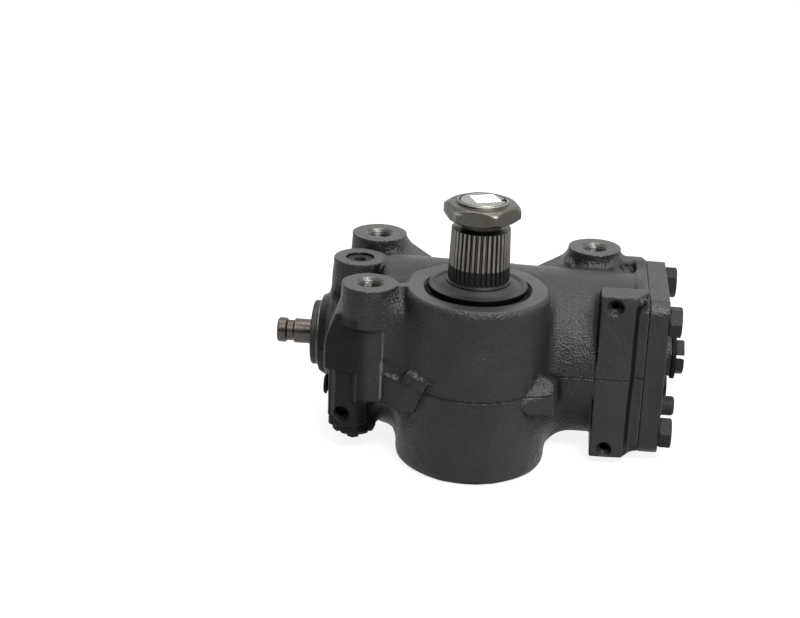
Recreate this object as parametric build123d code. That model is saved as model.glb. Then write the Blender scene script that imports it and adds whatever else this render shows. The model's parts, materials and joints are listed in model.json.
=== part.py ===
from build123d import *
import math
import os

os.makedirs("parts", exist_ok=True)

# Recirculating-ball power steering gear, millimetres.
# Origin: output shaft axis at the machined mounting plane. +Z up along the output shaft,
# +X along the power cylinder towards its end cover.

# ---- driving dimensions ----
YC, ZC = 68.0, -77.5            # worm and piston axis, along X
SECTOR_R0, SECTOR_R1 = 64.3, 61.3   # sector case, outside: bottom and top
SECTOR_BOTTOM = -155.0
CASE_R0, CASE_R1 = 74.2, 69.35   # power cylinder, outside: valve end and cover end
BORE_R = 55.0                   # power cylinder, bore
VALVE_X = -139.5                # face of the valve end
FL_BOSS, BL_BOSS, BR_BOSS = (-90.8, -4.3), (-96.1, 127.4), (99.0, 125.8)
PORT_BOSS = (-107.4, 69.5)
PLUG_Z = -125.0                 # plug in the end cover
HEAD_TURN = {(-1, 1): 22, (1, 1): -8.6, (-1, -1): 15, (1, -1): 0}   # end cover bolts
BORE_X0 = -78.0
FLANGE_X0, FLANGE_X1 = 131.0, 145.0
COVER_X1 = 162.5
COVER_HALF_Y, COVER_HALF_Z, COVER_CORNER = 62.0, 70.0, 13.0
COVER_BOLT_Y, COVER_BOLT_Z = 50.0, 51.5
MODULE, TEETH, PRESSURE = 7.5, 10, 25.0
PITCH_R = MODULE * TEETH / 2    # 37.5
RACK_ADD, GEAR_ADD = 6.3, 6.5
GEAR_WIDTH = 60.0
LEAD = 12.7
BALL_R, BALL_CIRCLE, GROOVE_R = 3.175, 15.5, 3.5
WORM_R, NUT_R = 14.9, 16.2
TRAVEL = PITCH_R * math.pi / 4  # 29.45 each way
PISTON_R = 54.94
PISTON_X0, PISTON_X1 = -47.0, 100.0
JOURNAL_R = 27.0
LOWER_R = 22.0
SERR_R0, SERR_R1 = 26.0, 24.65  # serration, large and small end
SERR_Z0, SERR_Z1 = 9.5, 53.5
SERR_COUNT = 36
SHAFT_TOP = 77.5
THREAD_R = 19.0
NECK_R = 17.0
NUT_AF = 57.0
NUT_Z0, NUT_Z1 = 61.3, 75.1     # drop arm nut, without its collar
NUT_TURN, STAKE_ANGLE = -67.5, 4.0
INPUT_R = 11.0
INPUT_X = -179.0
BOSS_HOLE_R = 9.25              # M20 x 1.5, tapping size

LOW = (Align.CENTER, Align.CENTER, Align.MIN)


def zcyl(x, y, z0, z1, r):
    return Pos(x, y, z0) * Cylinder(r, z1 - z0, align=LOW)


def xcyl(x0, x1, r, y=YC, z=ZC):
    return Pos(x0, y, z) * Rot(0, 90, 0) * Cylinder(r, x1 - x0, align=LOW)


def ycyl(y0, y1, r, x, z):
    return Pos(x, y0, z) * Rot(-90, 0, 0) * Cylinder(r, y1 - y0, align=LOW)


def block(x0, x1, y0, y1, z0, z1):
    return Pos((x0 + x1) / 2, (y0 + y1) / 2, (z0 + z1) / 2) * Box(x1 - x0, y1 - y0, z1 - z0)


def zring(z0, z1, r0, r1, x=0, y=0):
    return zcyl(x, y, z0, z1, r1) - zcyl(x, y, z0 - 1, z1 + 1, r0)


def xring(x0, x1, r0, r1, y=YC, z=ZC):
    return xcyl(x0, x1, r1, y, z) - xcyl(x0 - 1, x1 + 1, r0, y, z)


def turned(points, x=0, y=0):
    """Solid of revolution about a Z axis from (radius, z) points."""
    face = make_face(Polyline(*[(r, 0, z) for r, z in points], close=True))
    return Pos(x, y, 0) * revolve(face, Axis.Z, 360)


def turned_x(points, y=YC, z=ZC):
    """Solid of revolution about the worm axis from (x, radius) points."""
    face = make_face(Polyline(*[(px, r, 0) for px, r in points], close=True))
    return Pos(0, y, z) * revolve(face, Axis.X, 360)


def xhex(x0, x1, af, y, z, turn=0):
    body = extrude(RegularPolygon(af / 2, 6, major_radius=False, rotation=turn), x1 - x0)
    return Pos(x0, y, z) * Rot(0, 90, 0) * body


def one(shape):
    """The single solid of a shape that should hold one."""
    solids = shape.solids()
    assert len(solids) == 1, len(solids)
    return solids[0]


def save(name, shape):
    export_step(shape if isinstance(shape, Compound) else Compound(children=list(shape.solids())), f"parts/{name}.step")


def group(items):
    return Compound(children=[s for i in items for s in i.solids()])


# ---- housing ----
sector_case = turned([(0, SECTOR_BOTTOM), (SECTOR_R0, SECTOR_BOTTOM), (SECTOR_R1, 0), (0, 0)])
sector_case = fillet(sector_case.edges().filter_by(GeomType.CIRCLE).sort_by(Axis.Z)[0], 5)
sides = block(-60.5, 61.5, 0, 60, SECTOR_BOTTOM + 1, -16)
sector_case += fillet(sides.edges().filter_by(Axis.Y).group_by(Axis.Z)[0], 5)
case = turned_x([(-92, 0), (-92, CASE_R0), (FLANGE_X0 + 2, CASE_R1), (FLANGE_X0 + 2, 0)])
case += sector_case
case += turned_x([(VALVE_X, 0), (VALVE_X, 33.8), (-132, 38), (-130.5, 42.5), (-88, 43.5), (-88, 0)])
left_block = block(-128.4, -78, -18, 104, -134.5, -13)
left_block = fillet(left_block.edges().filter_by(Axis.X), 14)
case += left_block
column = block(-124, -77, -24, 30, -134.5, -20)
column = fillet(column.edges().filter_by(Axis.Z), 9)
case += column
case += zcyl(*FL_BOSS, -60, 0, 23.4)
case += zcyl(*BL_BOSS, -72, 0, 23.9)
case += zcyl(*BR_BOSS, -72, 0, 23.9)
case += block(-118, -76, 70, 130, -70, -16)
case += block(78, 120, 70, 128, -60, -18)
case += turned([(0, -60), (24.8, -60), (24.8, -36), (22.4, -4.2), (0, -4.2)], *PORT_BOSS)
case += block(-80, -50, -16, 10, -30, 0)
ports = block(-134, -86, 80, 118, -116, -40)
ports = fillet(ports.edges().filter_by(Axis.Y), 8)
case += ports
flange = block(FLANGE_X0, FLANGE_X1, YC - COVER_HALF_Y, YC + COVER_HALF_Y, ZC - COVER_HALF_Z, ZC + COVER_HALF_Z)
flange = fillet(flange.edges().filter_by(Axis.X), COVER_CORNER)
case += flange
pad = block(103.5, 137, -1, 40, -147.5, 0)
pad = fillet(pad.edges().filter_by(Axis.Y).group_by(Axis.X)[0], 4)
case += pad
# cast lumps of the box joint, low on both sides of the sector case
for angle in (222, 318):
    lump = Pos(0, 0, -98) * Rot(0, 0, angle) * Pos(58, 0, 0) * Box(14, 26, 26)
    case += lump

case -= xcyl(BORE_X0, FLANGE_X1 + 5, BORE_R)
case -= xcyl(-143, -132, 29.5)
case -= xcyl(-133, -83, 24)
case -= xcyl(-84, BORE_X0 + 1, 15.5)
case -= zcyl(0, 0, SECTOR_BOTTOM - 1, -44, 47)
case -= zcyl(0, 0, SECTOR_BOTTOM - 1, -134, 48)
case -= zcyl(0, 0, -151, -148, 50.5)
case -= zcyl(0, 0, -45, -20, 34)
case -= zcyl(0, 0, -21, -2, 36)
case -= zcyl(0, 0, -9.2, -7.2, 38)
case -= zcyl(0, 0, -3, 1, 45.5)
# bracket holes: x, y, floor, chamfer depth
for (bx, by), floor, dz in ((FL_BOSS, -30, 2.8), (BL_BOSS, -31.2, 2.8), (BR_BOSS, -28.8, 2.8)):
    case -= zcyl(bx, by, floor, 1, BOSS_HOLE_R)
    case -= turned([(0, 1), (10.0 + dz, 1), (9.0, -dz), (0, -dz)], bx, by)
# plug hole over the valve
case -= zcyl(*PORT_BOSS, -22, 0, 10)
case -= zcyl(*PORT_BOSS, -60, -20, 4)
case -= zcyl(*PORT_BOSS, -7.4, 0, 12.4)
# hydraulic ports on the hidden back of the valve end
for px, pz in ((-105, -83), (-121.5, -99)):
    case -= ycyl(100, 119, 8.25, px, pz)
    case -= ycyl(80, 101, 5, px, pz)
# bracket holes in the front pad and the front-left column
for pz in (-9.8, -140.3):
    case -= ycyl(-2, 20, 5.1, 116, pz)
    case -= Pos(116, -1, pz) * Rot(90, 0, 0) * Cone(4.7, 8.3, 4, align=(Align.CENTER, Align.CENTER, Align.CENTER))
case -= ycyl(-25, -4, 5.1, -112, -119)
# relief valve bore, from below
RX, RY = -102.0, 3.0
case -= zcyl(RX, RY, -135.5, -131.5, 17)
case -= zcyl(RX, RY, -135.5, -104, 8)
case -= zcyl(RX, RY, -105, -90, 4)
case -= ycyl(RY, 46, 3.5, RX, -94)
# side plug hole
case -= xcyl(-130, -115, 6, 28, -110)
# end cover bolt holes
for sy in (-1, 1):
    for sz in (-1, 1):
        case -= xcyl(128, FLANGE_X1 + 1, 8.0, YC + sy * COVER_BOLT_Y, ZC + sz * COVER_BOLT_Z)
housing = one(case)
save("housing", housing)

# ---- end cover ----
cover = block(FLANGE_X1, COVER_X1, YC - COVER_HALF_Y, YC + COVER_HALF_Y, ZC - COVER_HALF_Z, ZC + COVER_HALF_Z)
cover = fillet(cover.edges().filter_by(Axis.X), COVER_CORNER)
cover = chamfer(cover.faces().sort_by(Axis.X)[-1].edges(), 1.5)
cover += xcyl(COVER_X1 - 1, 171, 17.5)
cover += xcyl(COVER_X1 - 1, 165, 11, YC, PLUG_Z)
cover += xcyl(136, FLANGE_X1 + 1, 54.8)
cover -= xring(139, 143, 51.6, 56)
cover -= xcyl(135, 172, 8.0)
cover -= xcyl(150, 166, 5.0, YC, PLUG_Z)
for sy in (-1, 1):
    for sz in (-1, 1):
        cover -= xcyl(FLANGE_X1 - 1, COVER_X1 + 1, 8.6, YC + sy * COVER_BOLT_Y, ZC + sz * COVER_BOLT_Z)
save("end_cover", one(cover))
save("end_cover_seal", Pos(141, YC, ZC) * Rot(0, 90, 0) * Torus(53.2, 1.6))
bolts = []
for sy in (-1, 1):
    for sz in (-1, 1):
        y, z = YC + sy * COVER_BOLT_Y, ZC + sz * COVER_BOLT_Z
        bolt = xcyl(132, COVER_X1 + 1, 7.98, y, z) + xcyl(COVER_X1, COVER_X1 + 1.2, 12.4, y, z)
        head = xhex(COVER_X1 + 1.2, 173.5, 24, y, z, HEAD_TURN[sy, sz])
        head &= turned_x([(COVER_X1, 0), (COVER_X1, 14.2), (172.3, 14.2), (173.5, 12.1), (173.5, 0)], y, z)
        bolts.append(one(bolt + head))
save("end_cover_bolts", group(bolts))
SLOT_TILT = -21.0
slot = Pos(178.3, YC, ZC) * Rot(SLOT_TILT, 0, 0) * Box(7.6, 40, 2.6)
limiter = xcyl(133, 181, 8.0) - slot
save("limiter_screw", one(limiter))
save("limiter_washer", one(xring(171, 173.5, 8.0, 19.5)))
nut = xhex(173.5, 182, 28, YC, ZC, 0) - xcyl(173, 183, 8.0)
nut &= turned_x([(173.5, 0), (173.5, 16.5), (181, 16.5), (182, 15), (182, 0)])
nut -= Pos(178.3, YC, ZC) * Rot(SLOT_TILT, 0, 0) * Box(7.6, 40, 3.0)
save("limiter_nut", one(nut))
plug = turned_x([(152, 0), (152, 5), (165, 5), (165, 10.4), (167, 10.4), (167, 8.8), (176, 8.8), (178, 6.8), (178, 0)], YC, PLUG_Z)
save("end_cover_plug", one(plug))


# ---- sector shaft ----
def involute(r_base, r):
    a = math.acos(min(1.0, r_base / r))
    return math.tan(a) - a


def sector_teeth(count, backlash):
    rb = PITCH_R * math.cos(math.radians(PRESSURE))
    ro, rf = PITCH_R + GEAR_ADD, 30.0
    half = math.pi / 2 / TEETH - backlash / PITCH_R + involute(rb, PITCH_R)
    teeth = []
    for k in range(count):
        mid = math.pi / 2 + (k - (count - 1) / 2) * 2 * math.pi / TEETH
        flank = [rb + (ro - rb) * i / 7 for i in range(8)]
        left = [(rf - 3, half + 0.02), (rf, half + 0.02)] + [(r, half - involute(rb, r)) for r in flank]
        pts = [(r, mid + a) for r, a in left] + [(r, mid - a) for r, a in reversed(left)]
        face = make_face(Polyline(*[(r * math.cos(a), r * math.sin(a)) for r, a in pts], close=True))
        teeth.append(Pos(0, 0, ZC - GEAR_WIDTH / 2) * extrude(face, GEAR_WIDTH))
    return teeth


shaft = turned([(0, -131), (LOWER_R - 1.5, -131), (LOWER_R, -129.5), (LOWER_R, -107.5), (30, -107.5), (30, -47.5),
                (JOURNAL_R, -47.5), (JOURNAL_R, 7.5), (25.2, SERR_Z0 - 0.3), (24.2, SERR_Z0), (SERR_R1 - 2.0, SERR_Z1), (20.5, SERR_Z1 + 0.2),
                (18.0, SERR_Z1 + 0.4), (NECK_R, SERR_Z1 + 1.2), (NECK_R, 60.2), (THREAD_R, 61.6), (THREAD_R, SHAFT_TOP - 1), (THREAD_R - 1, SHAFT_TOP), (0, SHAFT_TOP)])
for tooth in sector_teeth(3, 0.1):
    shaft += tooth
# tapered serrations: one ridge, repeated
ridges = []
for k in range(SERR_COUNT):
    a = 360.0 / SERR_COUNT * k
    lo = make_face(Polyline((SERR_R0 - 3.4, -2.3), (SERR_R0, -0.85), (SERR_R0, 0.85), (SERR_R0 - 3.4, 2.3), close=True))
    hi = make_face(Polyline((SERR_R1 - 3.3, -2.15), (SERR_R1, -0.8), (SERR_R1, 0.8), (SERR_R1 - 3.3, 2.15), close=True))
    ridge = loft([Pos(0, 0, SERR_Z0) * lo, Pos(0, 0, SERR_Z1) * hi])
    ridges.append(Rot(0, 0, a) * ridge)
shaft = shaft + ridges
shaft -= zcyl(0, 0, -132, -120, 8.6)
shaft -= Rot(0, 0, STAKE_ANGLE) * block(15.4, 20, -2.6, 2.6, 71, 78)
save("sector_shaft", one(shaft))

nut = extrude(RegularPolygon(NUT_AF / 2, 6, major_radius=False, rotation=0), NUT_Z1 - NUT_Z0)
nut = Pos(0, 0, NUT_Z0) * Rot(0, 0, NUT_TURN) * nut
nut &= turned([(0, NUT_Z0), (27.3, NUT_Z0), (33.3, NUT_Z0 + 3.46), (33.3, NUT_Z1 - 3.46), (27.3, NUT_Z1), (0, NUT_Z1)])
nut += zcyl(0, 0, NUT_Z1 - 0.1, 77.3, 21.3)
nut -= zcyl(0, 0, 50, 80, THREAD_R)
# the collar is staked into the groove in the shaft's end
nut += Rot(0, 0, STAKE_ANGLE) * block(16.6, 19.6, -1.7, 1.7, 74.6, 76.9)
nut -= Rot(0, 0, STAKE_ANGLE) * block(19.4, 22, -1.7, 1.7, 76.0, 78)
save("drop_arm_nut", one(nut))
save("shaft_label", Pos(1.9, 2.2, 0) * Rot(0, 0, 23) * block(-10.5, 10.5, -9.6, 9.6, SHAFT_TOP, SHAFT_TOP + 0.2))

# ---- sector shaft bearings, seal and caps ----
save("upper_bearing_ring", one(zring(-34, -21, 31, 34)))
save("upper_bearing_rollers", group([Rot(0, 0, 10 * k) * zcyl(29, 0, -33.8, -21.5, 1.95) for k in range(36)]))
save("lower_bearing_ring", one(zring(-131, -112.5, 25, 26.5)))
save("lower_bearing_rollers", group([Rot(0, 0, 10 * k) * zcyl(23.5, 0, -130, -113, 1.45) for k in range(36)]))
save("sector_shaft_seal", one(turned([(JOURNAL_R + 0.05, -19.5), (36, -19.5), (36, -9.3), (31, -9.3), (30, -12), (JOURNAL_R + 0.05, -12)])))
snap = zring(-9.1, -7.3, 32.5, 37.8) - block(30, 40, -4, 4, -10, -6)
save("seal_snap_ring", one(snap))
cap = turned([(JOURNAL_R + 0.05, -6.5), (35.6, -6.5), (35.6, -3.0), (40.6, -3.0), (41.5, -2.0), (41.5, 1.6), (40.4, 3.2), (38.4, 3.6),
              (37.0, 2.4), (34.5, 2.6), (31.0, 4.0), (29.6, 6.4), (JOURNAL_R + 0.05, 6.8)])
save("dust_cap", one(cap))
cover = zcyl(0, 0, -147.6, -134, 47.9) + zcyl(0, 0, -135, -112, 30.5)
cover -= zcyl(0, 0, -134, -111, 26.5)
cover -= zcyl(0, 0, -133.5, -131.2, 22.5)
cover -= zring(-142, -138, 45, 49)
cover -= zcyl(0, 0, -148, -144.5, 30)
cover -= zcyl(0, 0, -149, -130, 5)
save("sector_cover", one(cover))
save("sector_cover_seal", Pos(0, 0, -140) * Torus(46.4, 1.4))
ring = zring(-150.6, -148.2, 44, 50.2) - block(-5, 5, -60, -40, -152, -147)
save("sector_cover_ring", one(ring))
screw = zcyl(0, 0, -153.5, -128, 5.0) + zcyl(0, 0, -128.5, -123, 8.0)
screw -= block(-6, 6, -0.9, 0.9, -154, -151)
save("adjusting_screw", one(screw))
nut = Pos(0, 0, -151.5) * extrude(RegularPolygon(8.5, 6, major_radius=False), 7) - zcyl(0, 0, -153, -140, 5.0)
save("adjuster_lock_nut", one(nut))

# ---- rack piston ----
piston = xcyl(PISTON_X0, PISTON_X1, PISTON_R)
piston = chamfer(piston.edges().sort_by(Axis.X)[-1], 2)
piston -= block(PISTON_X0 - 1, 60, -5, PITCH_R - RACK_ADD, ZC - 60, ZC + 60)
tan = math.tan(math.radians(PRESSURE))
root_depth, pitch = 7.5, math.pi * MODULE
for k in (-1, 0, 1):
    tip, root = pitch / 4 + 0.1 + RACK_ADD * tan, pitch / 4 + 0.1 - root_depth * tan
    gap = make_face(Polyline((k * pitch - tip - tan, PITCH_R - RACK_ADD - 1), (k * pitch - root, PITCH_R + root_depth),
                             (k * pitch + root, PITCH_R + root_depth), (k * pitch + tip + tan, PITCH_R - RACK_ADD - 1), close=True))
    piston -= Pos(0, 0, ZC - 60) * extrude(gap, 120)
piston -= xcyl(PISTON_X0 - 1, 84, NUT_R)
piston -= xring(76, 80, 50.5, 56)
# pocket for the return tubes, on the side away from the rack
piston -= block(-30, 24, YC + 34, YC + 60, ZC - 16, ZC + 16)


def helix_sweep(x0, x1, radius, start_angle):
    """A round worm-groove tool along a right-hand helix about the worm axis."""
    line = Helix(LEAD, x1 - x0, radius)
    profile = Plane(origin=line @ 0, z_dir=line % 0) * Circle(GROOVE_R)
    tool = sweep(profile, path=line, is_frenet=True)
    return Pos(x0, YC, ZC) * Rot(start_angle, 0, 0) * Rot(0, 90, 0) * tool


# The groove's phase is counted from x = 0, where it crosses the -Z side of the axis.
def phase(x):
    return 360.0 * x / LEAD


NUT_G0, NUT_G1 = -24.0, 16.0
piston -= helix_sweep(NUT_G0, NUT_G1, BALL_CIRCLE, phase(NUT_G0))
piston_solid = piston


def on_helix(x, radius=BALL_CIRCLE):
    a = math.radians(phase(x))
    # helix start direction: the local +X of the helix turns to -Z in the gearbox
    y, z = radius * math.sin(a), -radius * math.cos(a)
    return x, YC + y, ZC + z


# the groove is on the +Y side where the angle is 90 degrees past the start
xs_up = [LEAD * (0.25 + n) for n in (-2, 1)]
holes = [ycyl(YC + 8, YC + 40, 3.4, x, ZC) for x in xs_up]
for h in holes:
    piston_solid -= h
# clamp screw holes
for z in (ZC - 11, ZC + 11):
    piston_solid -= ycyl(YC + 24, YC + 36, 2.5, (xs_up[0] + xs_up[1]) / 2, z)
save("rack_piston", one(piston_solid))
save("piston_ring", one(xring(76.1, 79.9, 50.6, 54.96) - block(75, 81, YC + 45, YC + 60, ZC - 0.6, ZC + 0.6)))

# ball return: two half tubes bridging the holes, in the pocket
xa, xb = xs_up
path = FilletPolyline((xa, YC + 17, ZC), (xa, YC + 41, ZC), (xb, YC + 41, ZC), (xb, YC + 17, ZC), radius=8)
outer = sweep(Plane(origin=path @ 0, z_dir=path % 0) * Circle(4.4), path=path)
inner = sweep(Plane(origin=path @ 0, z_dir=path % 0) * Circle(3.3), path=path)
tube = outer - inner
tube -= block(-40, 40, YC + 10, YC + 34.01, ZC - 5, ZC + 5)
save("ball_return_tubes", one(tube))
xm = (xa + xb) / 2
clamp = block(xm - 6, xm + 6, YC + 34, YC + 36, ZC - 15, ZC + 15) + block(xm - 6, xm + 6, YC + 34, YC + 47.4, ZC - 6.6, ZC + 6.6)
clamp -= block(xm - 7, xm + 7, YC + 33, YC + 45.6, ZC - 4.6, ZC + 4.6)
for z in (ZC - 11, ZC + 11):
    clamp -= ycyl(YC + 33, YC + 37, 2.5, xm, z)
save("tube_clamp", one(clamp))
screws = [one(ycyl(YC + 25, YC + 36.5, 2.5, xm, z) + ycyl(YC + 36, YC + 39, 4.2, xm, z)) for z in (ZC - 11, ZC + 11)]
save("tube_clamp_screws", group(screws))

# balls: along the groove between the tube holes
balls = []
turn_len = math.hypot(2 * math.pi * BALL_CIRCLE, LEAD)
step = 6.62 / turn_len * LEAD
x = xa
while x <= xb + 1e-6:
    balls.append(Pos(*on_helix(x)) * Rot(phase(x), 0, 0) * Rot(0, 90, 0) * Sphere(BALL_R))
    x += step
save("balls", group(balls))

# ---- worm, valve and input shaft ----
worm = turned_x([(-95, 0), (-95, 22), (-88.05, 22), (-88.05, 13.5), (-60, 13.5), (-58.5, WORM_R), (50.2, WORM_R), (51, 14.1), (51, 0)])
worm -= helix_sweep(-55.0, 47.0, BALL_CIRCLE, phase(-55.0))
worm -= xcyl(-96, -64, 4.45)
worm -= block(-96, -90, YC - 11, YC + 11, ZC - 4.5, ZC + 4.5)
worm -= zcyl(-72, YC, ZC - 14, ZC + 14, 1.5)
worm -= xcyl(-96, -91, 1.6, YC, ZC + 18)
save("worm_screw", one(worm))

sleeve = xring(-126.95, -95, 13.05, 23.95)
for gx in (-125.5, -115.5, -105.5, -97.8):
    sleeve -= xring(gx, gx + 1.9, 22.1, 25)
for gx in (-121.5, -111.5, -102.2):
    sleeve -= xring(gx, gx + 3.6, 21.0, 25)
    for k in range(4):
        sleeve -= Pos(gx + 1.8, YC, ZC) * Rot(45 + 90 * k, 0, 0) * Cylinder(1.5, 30, align=LOW)
sleeve -= xcyl(-98, -94, 1.6, YC, ZC + 18)
save("valve_sleeve", one(sleeve))
save("sleeve_rings", group([xring(gx + 0.05, gx + 1.85, 22.15, 23.96) for gx in (-125.5, -115.5, -105.5, -97.8)]))
save("sleeve_pin", one(xcyl(-97.9, -91.2, 1.6, YC, ZC + 18)))
bar = turned_x([(-178, 0), (-178, 4.4), (-168, 4.4), (-164, 3.1), (-82, 3.1), (-78, 4.45), (-65, 4.45), (-65, 0)])
bar -= zcyl(-72, YC, ZC - 14, ZC + 14, 1.5)
bar -= zcyl(-175.2, YC, ZC - 14, ZC + 14, 2.0)
save("torsion_bar", one(bar))
save("worm_pin", one(zcyl(-72, YC, ZC - 13.2, ZC + 13.2, 1.5)))

shaft = turned_x([(INPUT_X, 0), (INPUT_X, 9.8), (INPUT_X + 1.2, INPUT_R), (-171.5, INPUT_R), (-170, 9.3), (-165, 9.3), (-163.4, INPUT_R),
                  (-150, INPUT_R), (-150, INPUT_R - 0.2), (-128, INPUT_R - 0.2), (-128, 13), (-97, 13), (-97, 0)])
shaft += block(-98, -90.6, YC - 10, YC + 10, ZC - 3.5, ZC + 3.5)
shaft -= xcyl(-180, -90, 4.75)
shaft -= zcyl(-175.2, YC, ZC - 14, ZC + 14, 1.5)
for k in range(6):
    shaft -= Pos(-112, YC, ZC) * Rot(60 * k + 30, 0, 0) * Pos(0, 0, 13) * Box(24, 3.6, 2.4)
save("input_shaft", one(shaft))
save("input_pin", one(zcyl(-175.2, YC, ZC - 10.4, ZC + 10.4, 1.5)))

save("valve_cover", one(turned_x([(-132, 16), (-132, 29.5), (-141.2, 29.5), (-142, 28.7), (-142, 16)])))
ring = [xring(-138.3, -132.3, 13.45, 16)]
ring += [Pos(0, YC, ZC) * Rot(18 * k, 0, 0) * Pos(0, -YC, -ZC) * xcyl(-138, -132.6, 1.15, YC, ZC + 12.22) for k in range(20)]
save("input_bearing", group(ring))
save("input_seal", one(xring(-141.9, -138.6, INPUT_R - 0.15, 16)))
save("input_dust_cover", one(turned_x([(-142, INPUT_R + 0.3), (-142, 28.7), (-145.8, 28.7), (-147, 27.5), (-147, 22), (-145.6, 19), (-145.6, 14.5), (-147.2, 13.2), (-147.2, INPUT_R + 0.3)])))
washers, rollers = [], []
for x0 in (-131.95, -88.0):
    washers += [xring(x0, x0 + 1.2, 14.2, 22), xring(x0 + 3.75, x0 + 4.95, 14.2, 22)]
    for k in range(16):
        rollers.append(Pos(x0 + 2.475, YC, ZC) * Rot(22.5 * k, 0, 0) * Pos(0, 0, 15.4) * Cylinder(1.25, 5.4, align=LOW))
save("worm_thrust_washers", group(washers))
save("worm_thrust_rollers", group(rollers))

# ---- plugs ----
plug = zcyl(*PORT_BOSS, -20, -7.4, 10.0) + turned([(0, -7.4), (12.2, -7.4), (12.2, -7.0), (11.5, -6.3), (0, -6.3)], *PORT_BOSS)
plug -= Pos(*PORT_BOSS, -13) * extrude(RegularPolygon(5, 6, major_radius=False), 10)
save("port_plug", one(plug))
save("side_plug", one(xcyl(-129, -116, 6.0, 28, -110) + xcyl(-131.4, -128.4, 8.5, 28, -110)))
plug = zcyl(RX, RY, -135, -131.7, 16.9) + turned([(0, -137.5), (17.7, -137.5), (18.4, -136.8), (18.4, -135.2), (17.7, -134.5), (0, -134.5)], RX, RY)
for k in range(8):
    plug -= Pos(RX, RY, -136.6) * Rot(0, 0, 45 * k + 10) * Pos(18.4, 0, 0) * Box(4, 5, 4)
plug += zcyl(RX, RY, -134.5, -124, 8.0)
plug += Pos(RX, RY, -146) * extrude(RegularPolygon(5, 6, major_radius=False), 10)
plug -= zcyl(RX, RY, -128, -123, 5.6)
save("relief_plug", one(plug))
save("relief_poppet", one(zcyl(RX, RY, -110, -105.0, 7.9) + turned([(0, -105.1), (4.9, -105.1), (0.5, -100.6), (0, -100.6)], RX, RY)
                          + zcyl(RX, RY, -118, -109, 3.0)))
coil = Helix(3.6, 16.4, 4.6)
spring = sweep(Plane(origin=coil @ 0, z_dir=coil % 0) * Circle(0.6), path=coil, is_frenet=True)
save("relief_spring", Pos(RX, RY, -127.3) * spring)
print("done")
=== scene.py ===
import bpy
import json
import math
import numpy as np
from mathutils import Matrix, Vector

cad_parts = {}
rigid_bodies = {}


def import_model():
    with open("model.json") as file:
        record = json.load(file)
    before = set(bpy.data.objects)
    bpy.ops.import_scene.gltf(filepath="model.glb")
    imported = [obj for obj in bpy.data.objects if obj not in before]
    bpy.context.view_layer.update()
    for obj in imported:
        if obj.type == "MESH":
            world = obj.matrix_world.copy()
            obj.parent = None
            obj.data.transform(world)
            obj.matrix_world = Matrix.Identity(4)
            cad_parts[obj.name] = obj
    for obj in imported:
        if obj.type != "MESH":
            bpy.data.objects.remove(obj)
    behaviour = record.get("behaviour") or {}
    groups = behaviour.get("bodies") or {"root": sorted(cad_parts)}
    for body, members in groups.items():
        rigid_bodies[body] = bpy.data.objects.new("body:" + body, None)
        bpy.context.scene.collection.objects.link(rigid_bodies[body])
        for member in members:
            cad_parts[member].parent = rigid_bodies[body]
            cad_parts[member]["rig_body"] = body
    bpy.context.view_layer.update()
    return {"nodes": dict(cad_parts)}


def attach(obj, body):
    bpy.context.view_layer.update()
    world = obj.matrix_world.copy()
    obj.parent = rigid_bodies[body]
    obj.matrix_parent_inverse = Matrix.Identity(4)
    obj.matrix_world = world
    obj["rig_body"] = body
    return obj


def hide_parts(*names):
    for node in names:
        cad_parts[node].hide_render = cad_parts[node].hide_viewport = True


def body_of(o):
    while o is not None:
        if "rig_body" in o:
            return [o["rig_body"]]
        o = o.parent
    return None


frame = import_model()
MM = 0.001

# ------------------------------------------------------------------ geometry constants, millimetres
YC, ZC = 68.0, -77.5
PART_Z = -78.5                      # parting plane of the casting
FL_BOSS, BL_BOSS, BR_BOSS = (-90.8, -4.3), (-96.1, 127.4), (99.0, 125.8)
PORT_BOSS = (-107.4, 69.5)
RELIEF = (-102.0, 3.0)

# ------------------------------------------------------------------ signed distance solids


def fillet_union(a, b, r):
    if np.isscalar(r) and r <= 0:
        return np.minimum(a, b)
    u, v = np.maximum(r - a, 0), np.maximum(r - b, 0)
    return np.maximum(r, np.minimum(a, b)) - np.sqrt(u * u + v * v)


def round_cut(a, b, r):
    """a minus b, with the new edge rounded by r."""
    b = -b
    if r <= 0:
        return np.maximum(a, b)
    u, v = np.maximum(r + a, 0), np.maximum(r + b, 0)
    return np.minimum(-r, np.maximum(a, b)) + np.sqrt(u * u + v * v)


def cylinder(axis, c, r, lo, hi, rnd=0.0):
    mid, half = (lo + hi) / 2, (hi - lo) / 2

    def f(x, y, z):
        p = {"x": (x, y, z), "y": (y, x, z), "z": (z, x, y)}[axis]
        q = np.sqrt((p[1] - c[0]) ** 2 + (p[2] - c[1]) ** 2) - (r - rnd)
        w = np.abs(p[0] - mid) - (half - rnd)
        return np.minimum(np.maximum(q, w), 0) + np.sqrt(np.maximum(q, 0) ** 2 + np.maximum(w, 0) ** 2) - rnd

    if axis == "x":
        b = ((lo, c[0] - r, c[1] - r), (hi, c[0] + r, c[1] + r))
    elif axis == "y":
        b = ((c[0] - r, lo, c[1] - r), (c[0] + r, hi, c[1] + r))
    else:
        b = ((c[0] - r, c[1] - r, lo), (c[0] + r, c[1] + r, hi))
    return f, b


def cone_z(c, lo, hi, r_lo, r_hi, rnd=0.0):
    slope = (r_hi - r_lo) / (hi - lo)
    k = 1 / math.sqrt(1 + slope * slope)
    mid, half = (lo + hi) / 2, (hi - lo) / 2

    def f(x, y, z):
        q = (np.sqrt((x - c[0]) ** 2 + (y - c[1]) ** 2) - (r_lo + slope * (z - lo))) * k + rnd
        w = np.abs(z - mid) - (half - rnd)
        return np.minimum(np.maximum(q, w), 0) + np.sqrt(np.maximum(q, 0) ** 2 + np.maximum(w, 0) ** 2) - rnd

    r = max(r_lo, r_hi)
    return f, ((c[0] - r, c[1] - r, lo), (c[0] + r, c[1] + r, hi))


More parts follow.
